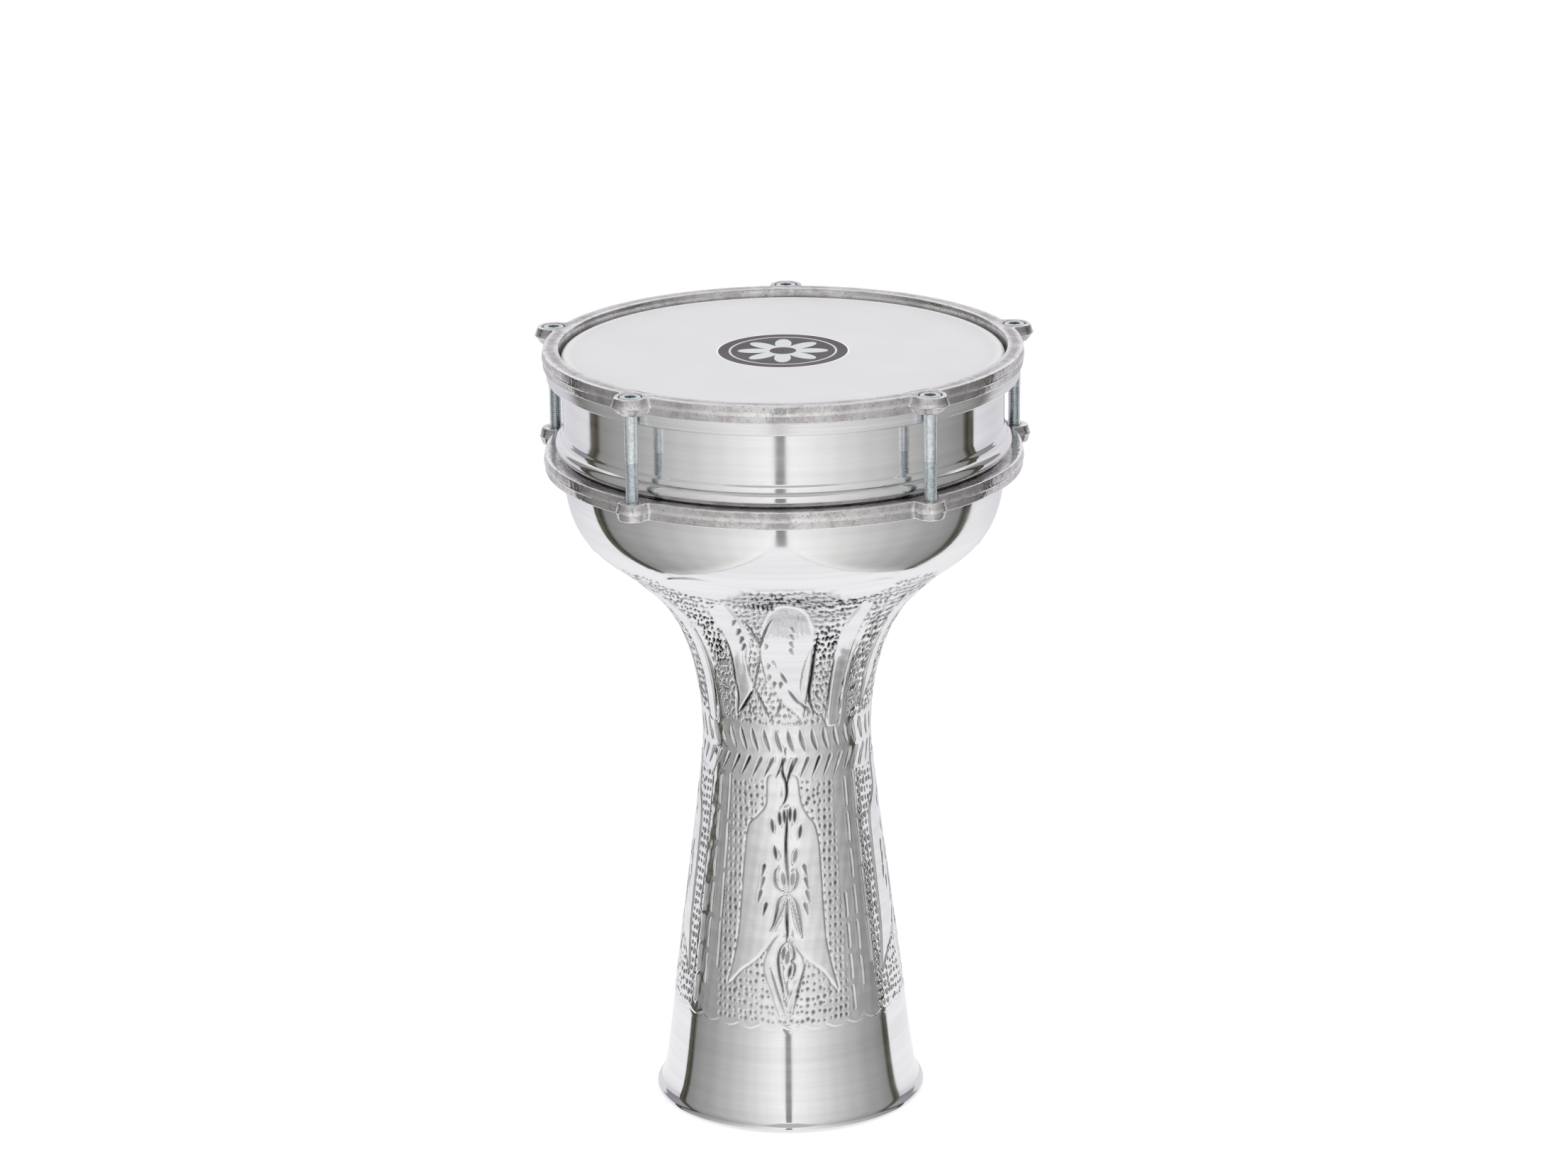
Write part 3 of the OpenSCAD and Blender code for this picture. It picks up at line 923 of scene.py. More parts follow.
@dataclass(frozen=True)
class FolkPattern:
    """A plain folk ornament of leaves, stems, seeds and punched ground that fills one quarter of the neck."""

    low_z: float = 50.0
    high_z: float = 276.5
    # patches where the punch marks are cut deeper and carry heavier painted shade
    deep_shaded_patches: Sequence[tuple[float, float, float, float]] = (
        (-38, 237, 8, 8), (-36, 267, 10, 6), (23, 240, 8, 8), (25, 267, 12, 6), (-37, 252, 6, 4),
        (5, 271, 9, 4))

    def leaves(self) -> list[Leaf]:
        """Smooth shapes: the long lower bell, its foot wedge, and the upper leaves."""
        return [
            Leaf(((-9, 171), (-10, 163), (-10.5, 157), (-16, 151.5), (-21.5, 147), (-23.4, 137),
                  (-24, 122), (-24.5, 104), (-25.5, 90), (-28, 77), (-29.5, 69.5), (-22, 77), (-14, 83),
                  (-7, 91), (-2.6, 96), (0, 97), (2.6, 96), (7, 91), (14, 83), (22, 77), (29.5, 67),
                  (27.6, 77), (25, 90), (24.3, 104), (24, 122), (23.6, 137), (21.5, 147), (17, 152),
                  (13.5, 157), (12, 163), (10, 171), (0, 172)), 0.3),
            Leaf(((-10, 80), (-6, 68), (0, 54), (6, 66), (12, 81), (5, 92), (0, 95), (-5, 92)), 0.22, 0.3),
            Leaf(((-27, 259), (-28.5, 250), (-27.5, 243), (-28, 228), (-29, 212), (-30, 200), (-24, 207),
                  (-18, 215), (-19, 222), (-18, 230), (-15.5, 239), (-15.5, 250), (-16.5, 261),
                  (-18, 266), (-22, 264)), 0.32),
            Leaf(((3, 266), (-2, 261), (-6, 251), (-9.5, 240), (-10, 228), (-8, 219), (-3, 214), (1, 209),
                  (8, 204.5), (14, 200), (16, 204), (17, 213), (18, 224), (18, 236), (17, 246),
                  (14, 255), (10, 263)), 0.3),
            Leaf(((33, 263), (32, 248), (32.5, 232), (32, 215), (31.5, 196.5), (36, 194), (41, 196),
                  (41.5, 215), (42, 232), (41.5, 246), (38, 262)), 0.35),
        ]

    def strokes(self) -> list[Stroke]:
        """Every line of one quarter."""
        even, both, tail = Taper.EVEN, Taper.BOTH, Taper.TAIL
        made: list[Stroke] = []
        # waist: a ring of slanted strokes over a ring that slants the other way
        for i in range(11):
            at = -45 + 90 / 11 * (i + 0.25)
            made.append(Stroke(((at - 1.6, 194.0), (at - 0.6, 189.0), (at + 2.2, 183.0)), 1.7, 0.75, both))
            made.append(Stroke(((at + 4.6, 180.3), (at + 1.6, 175.6), (at - 1.8, 170.4)), 1.7, 0.7, tail))
        # lower stem, its knot and loops
        made += [
            Stroke(((1, 181), (0.5, 176), (1, 172), (3, 168.5), (3.4, 163), (2.2, 159.5), (-0.4, 156.4)),
                   1.3, 0.7, both),
            Stroke(((8.5, 180), (6.5, 175), (4.6, 170.5), (3.4, 167)), 1.3, 0.65, both),
            Stroke(((3.6, 155.5), (3.2, 147), (2.6, 139), (2.8, 131), (3.6, 123.5), (4, 116.5)),
                   1.35, 0.7, both),
            Stroke(((-1.2, 128.2), (-4, 125.6), (-3.8, 120), (-1.2, 117), (3.8, 115.8)), 1.2, 0.6, both),
            Stroke(((8.2, 127.8), (9.6, 124), (8.2, 118.8), (5.8, 116.4), (3.8, 115.8)), 1.2, 0.6, both),
            Stroke(((3.4, 115), (-1.4, 112.6), (-3, 106), (-4.4, 101), (-6.8, 96.6)), 1.3, 0.6, both),
            Stroke(((2.4, 113.4), (0, 107), (-3, 101.5), (-5.6, 96.2)), 0.9, 0.45, both),
            Stroke(((4.4, 115), (8.2, 111.5), (10, 105), (10.8, 99), (11.4, 93.4)), 1.3, 0.6, both),
            Stroke(((5.4, 113.4), (7, 107.5), (8.6, 102), (10.8, 93.4)), 0.9, 0.45, both),
            Stroke(((3.2, 113), (2.8, 104), (3, 96), (2.6, 92)), 1.4, 0.7, both),
            Stroke(((2.8, 92.4), (-0.6, 89), (-2, 84), (-1.4, 77), (0, 71), (1.2, 64.5)), 1.2, 0.6, both),
            Stroke(((2.8, 92.4), (6, 89.5), (6.6, 84.5), (5.2, 82.6), (7, 80.4), (6, 75.4), (4, 74)),
                   1.1, 0.6, both),
            Stroke(((-6.6, 80.5), (-3.2, 70), (1.8, 56)), 1.0, 0.5, both),
            Stroke(((13.2, 82.8), (9, 70), (5.2, 57)), 1.0, 0.5, both),
        ]
        made += [Stroke(((a, z + 3.4), (b, z - 3.4)), 1.6, 0.6, both) for a, b, z in (
            (-1.6, -1, 151), (1.6, 2, 152), (5.6, 5.2, 153), (8.8, 8.2, 152.5), (12.4, 11, 144.5),
            (-6.6, -5.6, 147.5), (-4.6, -3.4, 134.6), (9.2, 7.4, 133), (0.4, 1.4, 122), (6.8, 6, 122),
            (1.4, 0.4, 86.5), (3.6, 2.4, 84.5), (5, 3.4, 78))]
        for side, turns in ((-1, (-11.4, -11.8, -13.2, -9.8)), (1, (14.4, 15, 15.6, 14.2))):
            for at, z in zip(turns, (125.5, 119.5, 113.2, 107.2)):
                made.append(Stroke(((at - 0.9 * side, z + 3.4), (at + 0.9 * side, z - 3.0)), 1.9, 0.65, tail))
        # upper leaves: the deep cut down each side, the knot and the fan
        made += [
            Stroke(((-27.6, 244), (-28, 232), (-29, 219), (-28.2, 210), (-29.8, 200.5)), 1.8, 0.85, both),
            Stroke(((19.4, 245), (19.6, 233), (19.4, 222), (18.4, 212), (21.5, 203.5), (27, 199.5)),
                   1.7, 0.8, both),
            Stroke(((32.4, 230), (32, 215), (31.6, 198)), 1.0, 0.6, both),
            Stroke(((41.6, 244), (42.2, 231), (41.4, 215), (39.6, 195)), 1.5, 0.8, both),
            Stroke(((-14, 256), (-11.6, 247), (-9.6, 239.4)), 1.2, 0.6, both),
            Stroke(((-1, 257.5), (-6, 247), (-9.4, 239.4)), 1.2, 0.6, both),
            Stroke(((-11.2, 244.5), (-10, 241.4), (-9.6, 238.6)), 2.4, 0.9, tail),
            Stroke(((-7.6, 244), (-8.6, 241.5), (-9.2, 238.6)), 2.2, 0.9, tail),
            Stroke(((-9.8, 236.4), (-11.6, 229), (-14.6, 221), (-16.8, 214)), 1.2, 0.6, both),
            Stroke(((-15.6, 239.4), (-18.8, 232), (-18.6, 225), (-17.6, 218)), 0.9, 0.4, both),
            Stroke(((-17, 217), (-13, 209), (-9.6, 203.5), (-7.4, 199.6)), 1.4, 0.7, both),
            Stroke(((-17.6, 213.6), (-23, 207), (-30, 200.4)), 1.3, 0.7, both),
            Stroke(((16.8, 237), (14.6, 229), (13, 219), (13.2, 212)), 0.8, 0.35, both),
            Stroke(((-3.6, 231), (-1.4, 227)), 1.5, 0.55, tail),
            Stroke(((0.6, 224.5), (2.4, 221.5), (4.4, 218.5)), 1.4, 0.55, both),
            Stroke(((5, 215), (9, 210.5), (13.4, 206.6)), 1.4, 0.55, both),
            Stroke(((12.4, 208.6), (17, 204.5), (22.4, 201.6)), 1.4, 0.55, both),
            Stroke(((0.6, 210.5), (-1, 205), (-4.4, 200)), 1.1, 0.5, both),
        ]
        made += seed_row(-18.6, (252.5, 246.6, 241.8, 237.6), 3.0, 4.4, 2.2)
        made += seed_row(7, (249.4, 244.6, 240, 236), -1.6, 3.6, 2.1)
        made += seed_row(-6.4, (238.6, 227.4, 221.4), 1.0, 3.4, 2.0)
        made += seed_row(-3.6, (217.6,), 0.8, 3.6, 1.9) + seed_row(0.4, (217.4,), 0.8, 3.6, 2.0)
        for i in range(7):
            at = -10.5 + 1.6 * i
            made.append(Stroke(((at + 0.4, 268.2 - 0.06 * (i - 4) ** 2), (at - 0.1, 262.6)), 1.2, 0.8, both))
        # columns of long dashes on the joins between quarters and beside them
        for at, first, length, gap in ((-45, 167.0, 13.0, 4.5), (-37, 169.0, 21.0, 3.0),
                                       (38.4, 112.0, 11.0, 4.0), (45, 167.0, 13.0, 4.5)):
            z = first
            while z - length > 53:
                dash = ((at, z), (at + 0.2, z - length / 2), (at + 0.1, z - length))
                made.append(Stroke(dash, 1.15, 0.5, even))
                z -= length + gap
        return made

    def ground_mask(self, relief: Relief, leaves: Array) -> Array:
        """Where the ground is punched: outside the leaves and clear of the borders and the waist."""
        z, turn = relief.z, relief.turn
        bulge = hump(turn, -22, 14) + hump(turn, 27, 11)
        crest = 279.0 - 9.0 * np.sqrt(bulge)
        upper = ease(z, 195.5, 197.5) * fall(z, crest - 3.0, crest)
        lower = ease(z, self.low_z + 1.5, self.low_z + 3.5) * fall(z, 167.5, 169.5)
        lower *= fall(np.abs(turn), 34.6, 36)
        seam = ease(np.abs(turn), 42, 43.5) * fall(z, 244, 250)
        return np.maximum(upper * (1 - seam), lower) * ease(-leaves, 0.2, 0.9)

    def apply(self, relief: Relief) -> None:
        """Works the whole quarter into a relief."""
        z, turn = relief.z, relief.turn
        leaves = np.full_like(z, -99.0)
        for leaf in self.leaves():
            inside = relief.inside(relief.flat(smooth_path(leaf.points, 5, closed=True)))
            relief.height += leaf.rise * ease(inside, -0.1, 0.8)
            relief.height -= leaf.border * bell(inside + 0.35, 0.4)
            leaves = np.maximum(leaves, inside)
        ground = self.ground_mask(relief, leaves)
        high = ease(z, 190, 200)
        fine = relief.punched((2.3, 3.7), 0.7, 0.3, 0.35 * np.sign(turn))
        stipple = relief.punched((2.8, 3.7), 0.5, 0.3)
        grid = relief.punched((2.8, 4.0), 0.2, 0.31)
        strip = ease(np.abs(turn), 24.5, 26.0) * (1 - high)
        marks = high * np.maximum(fine, 0.8 * stipple) + (1 - high) * ((1 - strip) * stipple + strip * grid)
        patches = sum(np.exp(-((turn - t) / w) ** 2 - ((z - at) / h) ** 2)
                      for t, at, w, h in self.deep_shaded_patches)
        relief.height += ground * (0.1 - (0.7 + 0.35 * patches) * marks)
        # painted shade in the punch marks of the ground, heavier in the deep shaded patches
        relief.recess_shade = np.maximum(relief.recess_shade, np.clip(ground * marks * (0.75 + 1.3 * patches), 0, 1))
        flutes = ease(z, 243, 247) * fall(z, 258, 262) * ease(turn, -2, 1) * fall(turn, 12, 15)
        relief.height += 0.08 * flutes * np.cos(relief.x * 2.6)
        for stroke in self.strokes():
            relief.cut(stroke)
        top = self.high_z + 5.0 * np.sqrt(hump(turn, -20, 14))
        top += 4.0 * np.sqrt(hump(turn, 27, 11)) + 0.5 * np.sin(np.radians(13 * turn))
        foot = self.low_z + 2.0 - 2.0 * np.abs(np.sin(np.pi * turn / 11.25))
        relief.height += 0.25 * bell(z - foot, 0.55) - 0.12 * bell(z - foot + 1.2, 0.6)
        relief.height += 0.22 * bell(z - top, 0.9) - 0.16 * bell(z - top + 2.0, 0.8)
        wobble = np.sin(relief.x * 0.9 + z * 0.31) * np.sin(z * 0.53 - relief.x * 0.4)
        relief.height += 0.05 * wobble * ease(z, self.low_z, self.low_z + 4) * fall(z, 272, 277)


@dataclass
class EngravedShell:
    """The one-piece metal shell: a closed body, with the chased neck laid on it in four quarters."""

    shape: ShellShape
    pattern: FolkPattern = field(default_factory=FolkPattern)
    first_middle: float = -3.1
    quarters: int = 4
    low_z: float = 46.5
    high_z: float = 284.0
    sunk: float = 1.7
    round_steps: int = 300
    quarter_steps: int = 176
    deepest: float = -1.2
    highest: float = 0.7

    def build(self) -> None:
        """Makes the body and the four quarters."""
        self.dress(self.body(), SHELL_METAL, ("shell",))
        for i in range(self.quarters):
            self.dress(self.quarter(i), CHASED_METAL)

    def dress(self, obj: bpy.types.Object, surface: Surface, nodes: Sequence[str] = ()) -> None:
        """Gives a piece of the shell its finish and body."""
        finish_piece(obj, surface, Body.DRUM.value, nodes)

    def body(self) -> bpy.types.Object:
        """The closed body, with a shallow recess where the quarters lie."""
        outside = self.shape.outside()
        low = resample(self.between(outside, -1.0, self.low_z), 1.1)
        low = np.vstack([self.shape.rim_curve(2)[:9], low[low[:, 1] > 4.0]])
        high = resample(self.between(outside, self.high_z, 999.0), 0.9)
        sunk = resample(inset(self.between(outside, self.low_z, self.high_z), self.sunk), 7.0)
        inner = resample(self.shape.inner_curve(24), 6.0)
        loop = np.vstack([low, sunk, high, self.shape.collar_curve(), inner])
        return new_object("GobletBody", revolve(loop, self.round_steps), sharp=50)

    @staticmethod
    def between(path: Array, low: float, high: float) -> Array:
        """The part of a rising path between two heights, ends included."""
        inner = path[(path[:, 1] > low) & (path[:, 1] < high)]
        ends = [np.array([[np.interp(z, path[:, 1], path[:, 0]), z]]) if path[0, 1] < z < path[-1, 1]
                else np.empty((0, 2)) for z in (low, high)]
        return np.vstack([ends[0], inner, ends[1]])

    def quarter(self, index: int) -> bpy.types.Object:
        """One closed, thin quarter of the chased neck."""
        middle = self.first_middle + 360 / self.quarters * index
        outer = resample(self.between(self.shape.outside(), self.low_z, self.high_z), 0.53)
        inner = resample(inset(outer, self.sunk - 0.2), 9.0)[::-1]
        bm = wrapped_sheet(np.vstack([outer, inner]), self.quarter_steps, 90.0, middle - 90.0 - 45.0)
        obj = new_object(f"NeckChasing{index + 1}", bm)
        mesh = obj.data
        co = vertex_array(mesh)
        r = np.hypot(co[:, 0], co[:, 1])
        plain = self.shape.radius_at(co[:, 2])
        slope = np.gradient(outer[:, 0], outer[:, 1])
        lean = np.interp(co[:, 2], outer[:, 1], slope)
        on_face = r > plain - 0.45
        turn = (np.degrees(np.arctan2(co[:, 1], co[:, 0])) + 90.0 - middle + 180.0) % 360.0 - 180.0
        relief = Relief(turn[on_face], co[on_face, 2], plain[on_face], self.shape, seed=index + 1)
        self.pattern.apply(relief)
        fade = ease(relief.z, self.low_z, self.low_z + 1.0)
        fade *= fall(relief.z, self.high_z - 1.0, self.high_z)
        lift = np.clip(relief.height, self.deepest, self.highest) * fade
        out = 1 / np.sqrt(1 + lean[on_face] ** 2)
        radial = co[on_face, :2] / r[on_face, None]
        co[on_face, :2] += radial * (lift * out)[:, None]
        co[on_face, 2] -= lift * out * lean[on_face]
        write_vertices(mesh, co)
        # painted shade for the chased material, stored per vertex and faded out at the quarter's ends
        recess_shade = np.zeros(len(co))
        recess_shade[on_face] = relief.recess_shade * fade
        write_attribute(mesh, "recess_shade", recess_shade)
        mesh.set_sharp_from_angle(angle=math.radians(75))
        return obj


# --------------------------------------------------------------------------------------------------
# Cast rings
# --------------------------------------------------------------------------------------------------

@dataclass(frozen=True)
class EarShape:
    """Outline of a casting's ear at its three levels, round the bolt's axis."""

    bottom_r: float
    swell_r: float
    top_r: float
    fillet: float = 2.2


@dataclass
class CastRing:
    """A cast ring with five ears, each with a hole for its bolt."""

    name: str
    node: str
    body: Body
    low_z: float
    high_z: float
    inner_r: float
    outer_r: float
    bolts: Sequence[Point]
    ear: EarShape
    hole_r: float
    counterbore: Point | None = None
    draft: float = 0.4
    edge: float = 0.55

    def build(self) -> None:
        """Makes the ring, drills it and dresses it."""
        obj = self.blank()
        self.drill(obj)
        finish_piece(obj, CAST_METAL, self.body.value, (self.node,))

    def outline(self, azimuth: Array, disc_r: float, ear_r: float) -> Array:
        """Outer radius at each azimuth: the disc and its ears, joined with hollow fillets."""
        low, high = np.full_like(azimuth, disc_r - 6.0), np.full_like(azimuth, disc_r + 14.0)
        k = self.ear.fillet
        for _ in range(26):
            r = (low + high) / 2
            x, y = r * np.cos(azimuth), r * np.sin(azimuth)
            field_value = r - disc_r
            for bx, by in self.bolts:
                ear = np.hypot(x - bx, y - by) - ear_r
                h = np.clip(k - np.abs(field_value - ear), 0, None) / k
                field_value = np.minimum(field_value, ear) - h * h * k / 4
            inside = field_value < 0
            low, high = np.where(inside, r, low), np.where(inside, high, r)
        return (low + high) / 2

    def azimuths(self) -> Array:
        """Azimuths round the ring, close together at the ears."""
        per_bolt = np.r_[np.linspace(-36, -7, 26)[:-1], np.linspace(-7, 7, 113), np.linspace(7, 36, 26)[1:-1]]
        spots = [math.degrees(math.atan2(y, x)) + a for x, y in self.bolts for a in per_bolt]
        return np.radians(np.sort(np.mod(spots, 360.0)))

    def side_levels(self, h: float) -> list[Point]:
        """Steps up the outside, each with how far it is cut back: round edges and a parting line."""
        e = self.edge
        levels = [(0.0, e), (0.12 * e, 0.5 * e), (0.45 * e, 0.15 * e), (e, 0.0)]
        parting = [(h / 2 - 0.28, 0.0), (h / 2 - 0.1, -0.14), (h / 2 + 0.1, -0.14), (h / 2 + 0.28, 0.0)]
        return [*levels, *((h * t, 0.0) for t in (0.18, 0.3, 0.42)), *parting,
                *((h * t, 0.0) for t in (0.58, 0.7, 0.82)), *((h - z, cut) for z, cut in reversed(levels))]

    def bore_levels(self, h: float) -> list[Point]:
        """Heights down the bore, each with how far its mouths open outwards."""
        return [(self.low_z + h - 0.06, 0.42), (self.low_z + h - 0.4, 0.06), (self.low_z + h * 0.66, 0.0),
                (self.low_z + h * 0.33, 0.0), (self.low_z + 0.4, 0.06), (self.low_z + 0.06, 0.42)]

    def blank(self) -> bpy.types.Object:
        """The undrilled ring: a grid of section loops skinned round the axis."""
        azimuth = self.azimuths()
        h = self.high_z - self.low_z
        columns: list[Array] = []
        worn: list[Array] = []
        for z, cut in self.side_levels(h):
            t = z / h
            middle = 1 - abs(2 * t - 1)
            ear_r = np.interp(t, (0, 0.5, 1), (self.ear.bottom_r, self.ear.swell_r, self.ear.top_r))
            r = self.outline(azimuth, self.outer_r - self.draft * (1 - middle) - 0.14, ear_r - 0.14) - cut
            columns.append(np.column_stack([r, np.full_like(r, self.low_z + z)]))
            worn.append(np.full_like(r, 0.15 + 0.85 * (cut != 0) if abs(t - 0.5) > 0.08 else 0.55))
        top = columns[-1][:, 0]
        steps = [0.12, 0.35, 0.65, 0.9]
        mouth_r = self.inner_r + 0.5
        for s in steps:
            columns.append(np.column_stack([top + (mouth_r - top) * s, np.full_like(top, self.high_z)]))
            worn.append(np.full_like(top, 0.75 if s in (0.12, 0.9) else 0.1))
        for z, cut in self.bore_levels(h):
            columns.append(np.column_stack([np.full_like(top, self.inner_r + cut), np.full_like(top, z)]))
            worn.append(np.full_like(top, 0.9 if cut > 0.3 else 0.2))
        low = columns[0][:, 0]
        for s in reversed(steps):
            columns.append(np.column_stack([low + (mouth_r - low) * s, np.full_like(low, self.low_z)]))
            worn.append(np.full_like(low, 0.1))
        grid = np.stack(columns, 1)
        bm = bmesh.new()
        layer = bm.verts.layers.float.new("worn")
        loops = []
        for i, a in enumerate(azimuth):
            verts = [bm.verts.new((r * math.cos(a), r * math.sin(a), z)) for r, z in grid[i]]
            for j, vert in enumerate(verts):
                vert[layer] = float(worn[j][i])
            loops.append([bm.edges.new(pair) for pair in zip(verts, verts[1:] + verts[:1])])
        for i in range(len(loops)):
            self.skin(bm, loops[i], loops[(i + 1) % len(loops)])
        bmesh.ops.recalc_face_normals(bm, faces=bm.faces)
        return new_object(self.name, bm, sharp=55)

    @staticmethod
    def skin(bm: bmesh.types.BMesh, one: list[bmesh.types.BMEdge], other: list[bmesh.types.BMEdge]) -> None:
        """Joins two section loops of the same length, edge by edge."""
        for a, b in zip(one, other):
            bm.faces.new((a.verts[0], a.verts[1], b.verts[1], b.verts[0]))

    def drill(self, obj: bpy.types.Object) -> None:
        """Cuts the bolts' holes, with rounded mouths, by a difference with turned cutters."""
        mouth_r, seat_z = self.counterbore or (self.hole_r, self.high_z)
        lip = 0.35
        path = [(0, self.low_z - 1), (self.hole_r + 0.3, self.low_z - 1), (self.hole_r + 0.3, self.low_z),
                (self.hole_r, self.low_z + 0.3)]
        if self.counterbore:
            path += [(self.hole_r, seat_z), (mouth_r, seat_z)]
        path += [(mouth_r, self.high_z - lip), (mouth_r + 0.12 * lip, self.high_z - 0.4 * lip),
                 (mouth_r + 0.5 * lip, self.high_z - 0.06), (mouth_r + 1.2 * lip, self.high_z + 0.05),
                 (mouth_r + 1.2 * lip, self.high_z + 2), (0, self.high_z + 2)]
        bm = bmesh.new()
        for x, y in self.bolts:
            verts = [bm.verts.new((x + r, y, z)) for r, z in path]
            edges = [bm.edges.new(pair) for pair in zip(verts, verts[1:])]
            bmesh.ops.spin(bm, geom=verts + edges, cent=(x, y, 0), axis=(0, 0, 1), angle=2 * math.pi,
                           steps=40, use_merge=True)
        bmesh.ops.remove_doubles(bm, verts=bm.verts, dist=1e-4)
        bmesh.ops.recalc_face_normals(bm, faces=bm.faces)
        cutter = new_object(f"{self.name}Cutter", bm)
        difference = obj.modifiers.new("Drill", "BOOLEAN")
        difference.operation, difference.solver, difference.object = "DIFFERENCE", "EXACT", cutter
        graph = bpy.context.evaluated_depsgraph_get()
        cut = bpy.data.meshes.new_from_object(obj.evaluated_get(graph))
        obj.modifiers.remove(difference)
        blank, obj.data = obj.data, cut
        cutter_mesh = cutter.data
        bpy.data.objects.remove(cutter)
        for mesh in (blank, cutter_mesh):
            bpy.data.meshes.remove(mesh)
        obj.data.set_sharp_from_angle(angle=math.radians(50))


# --------------------------------------------------------------------------------------------------
# Head
# --------------------------------------------------------------------------------------------------

@dataclass
class Head:
    """The film, its rolled flesh hoop and the resin between them."""

    film_z: float
    skirt_z: float
    skirt_out: float
    wall_r: float
    edge_round: float
    flesh_low: float
    flesh_high: float
    flesh_in: float
    flesh_out: float
    film_t: float = 0.25
    metal_t: float = 0.6
    stretch_h: float = 5.5

    def build(self) -> None:
        """Makes and dresses the film and the flesh hoop, and dresses the resin of the CAD model."""
        film = self.film()
        film.data.materials.append(HEAD_FILM.material())
        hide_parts("head_film")
        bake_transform(film)
        finish_piece(self.flesh_hoop(), ROLLED_METAL, Body.HOOP.value, ("flesh_hoop",))
        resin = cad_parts["flesh_resin"]
        resin.data.materials.clear()
        resin.data.materials.append(RESIN.material())

    def film(self) -> bpy.types.Object:
        """The film: flat over the mouth, bent over the bearing edge and down into the flesh hoop."""
        t, r = self.film_t, self.edge_round
        edge_centre = (self.wall_r - r, self.film_z - t - r)
        bend = arc(edge_centre, r + t, 90, 0, 12)
        radii = np.r_[0.4, np.linspace(3, self.wall_r - r - 0.6, 40)]
        flat = np.column_stack([radii, np.full_like(radii, self.film_z)])
        lean = np.column_stack([np.linspace(bend[-1][0], self.skirt_out, 7)[1:],
                                np.linspace(bend[-1][1], self.skirt_z + 2.7, 7)[1:]])
        outer = np.vstack([flat, bend, lean, [[self.skirt_out, self.skirt_z]]])
        inner = np.vstack([[[self.skirt_out - t, self.skirt_z]], lean[::-1] - [t, 0],
                           arc(edge_centre, r + 0.01, 0, 90, 12), flat[::-8] - [0, t - 0.01]])
        bm = revolve(np.vstack([outer, inner]), 240)
        return new_object("DrumFilm", bm, sharp=60)

    def flesh_hoop(self) -> bpy.types.Object:
        """The rolled channel, its corners rounded."""
        lo, hi, a, b, t = self.flesh_low, self.flesh_high, self.flesh_in, self.flesh_out, self.metal_t
        k = 1.0
        outside = np.vstack([arc((a + k, lo + k), k, 180, 270, 6), arc((b - k, lo + k), k, 270, 360, 6),
                             arc((b - 0.5, hi - 0.5), 0.5, 0, 90, 4)])
        inside = np.vstack([[[b - t, hi], [b - t, lo + 2 * t]], arc((b - 2 * t, lo + 2 * t), t, 0, -90, 4),
                            arc((a + 2 * t, lo + 2 * t), t, -90, -180, 4),
                            [[a + t, hi - 1.5], [a, hi - 1.5]]])
        return new_object("FleshHoopStrip", revolve(np.vstack([outside, inside]), 256), sharp=45)


# --------------------------------------------------------------------------------------------------
# Bolts
# --------------------------------------------------------------------------------------------------

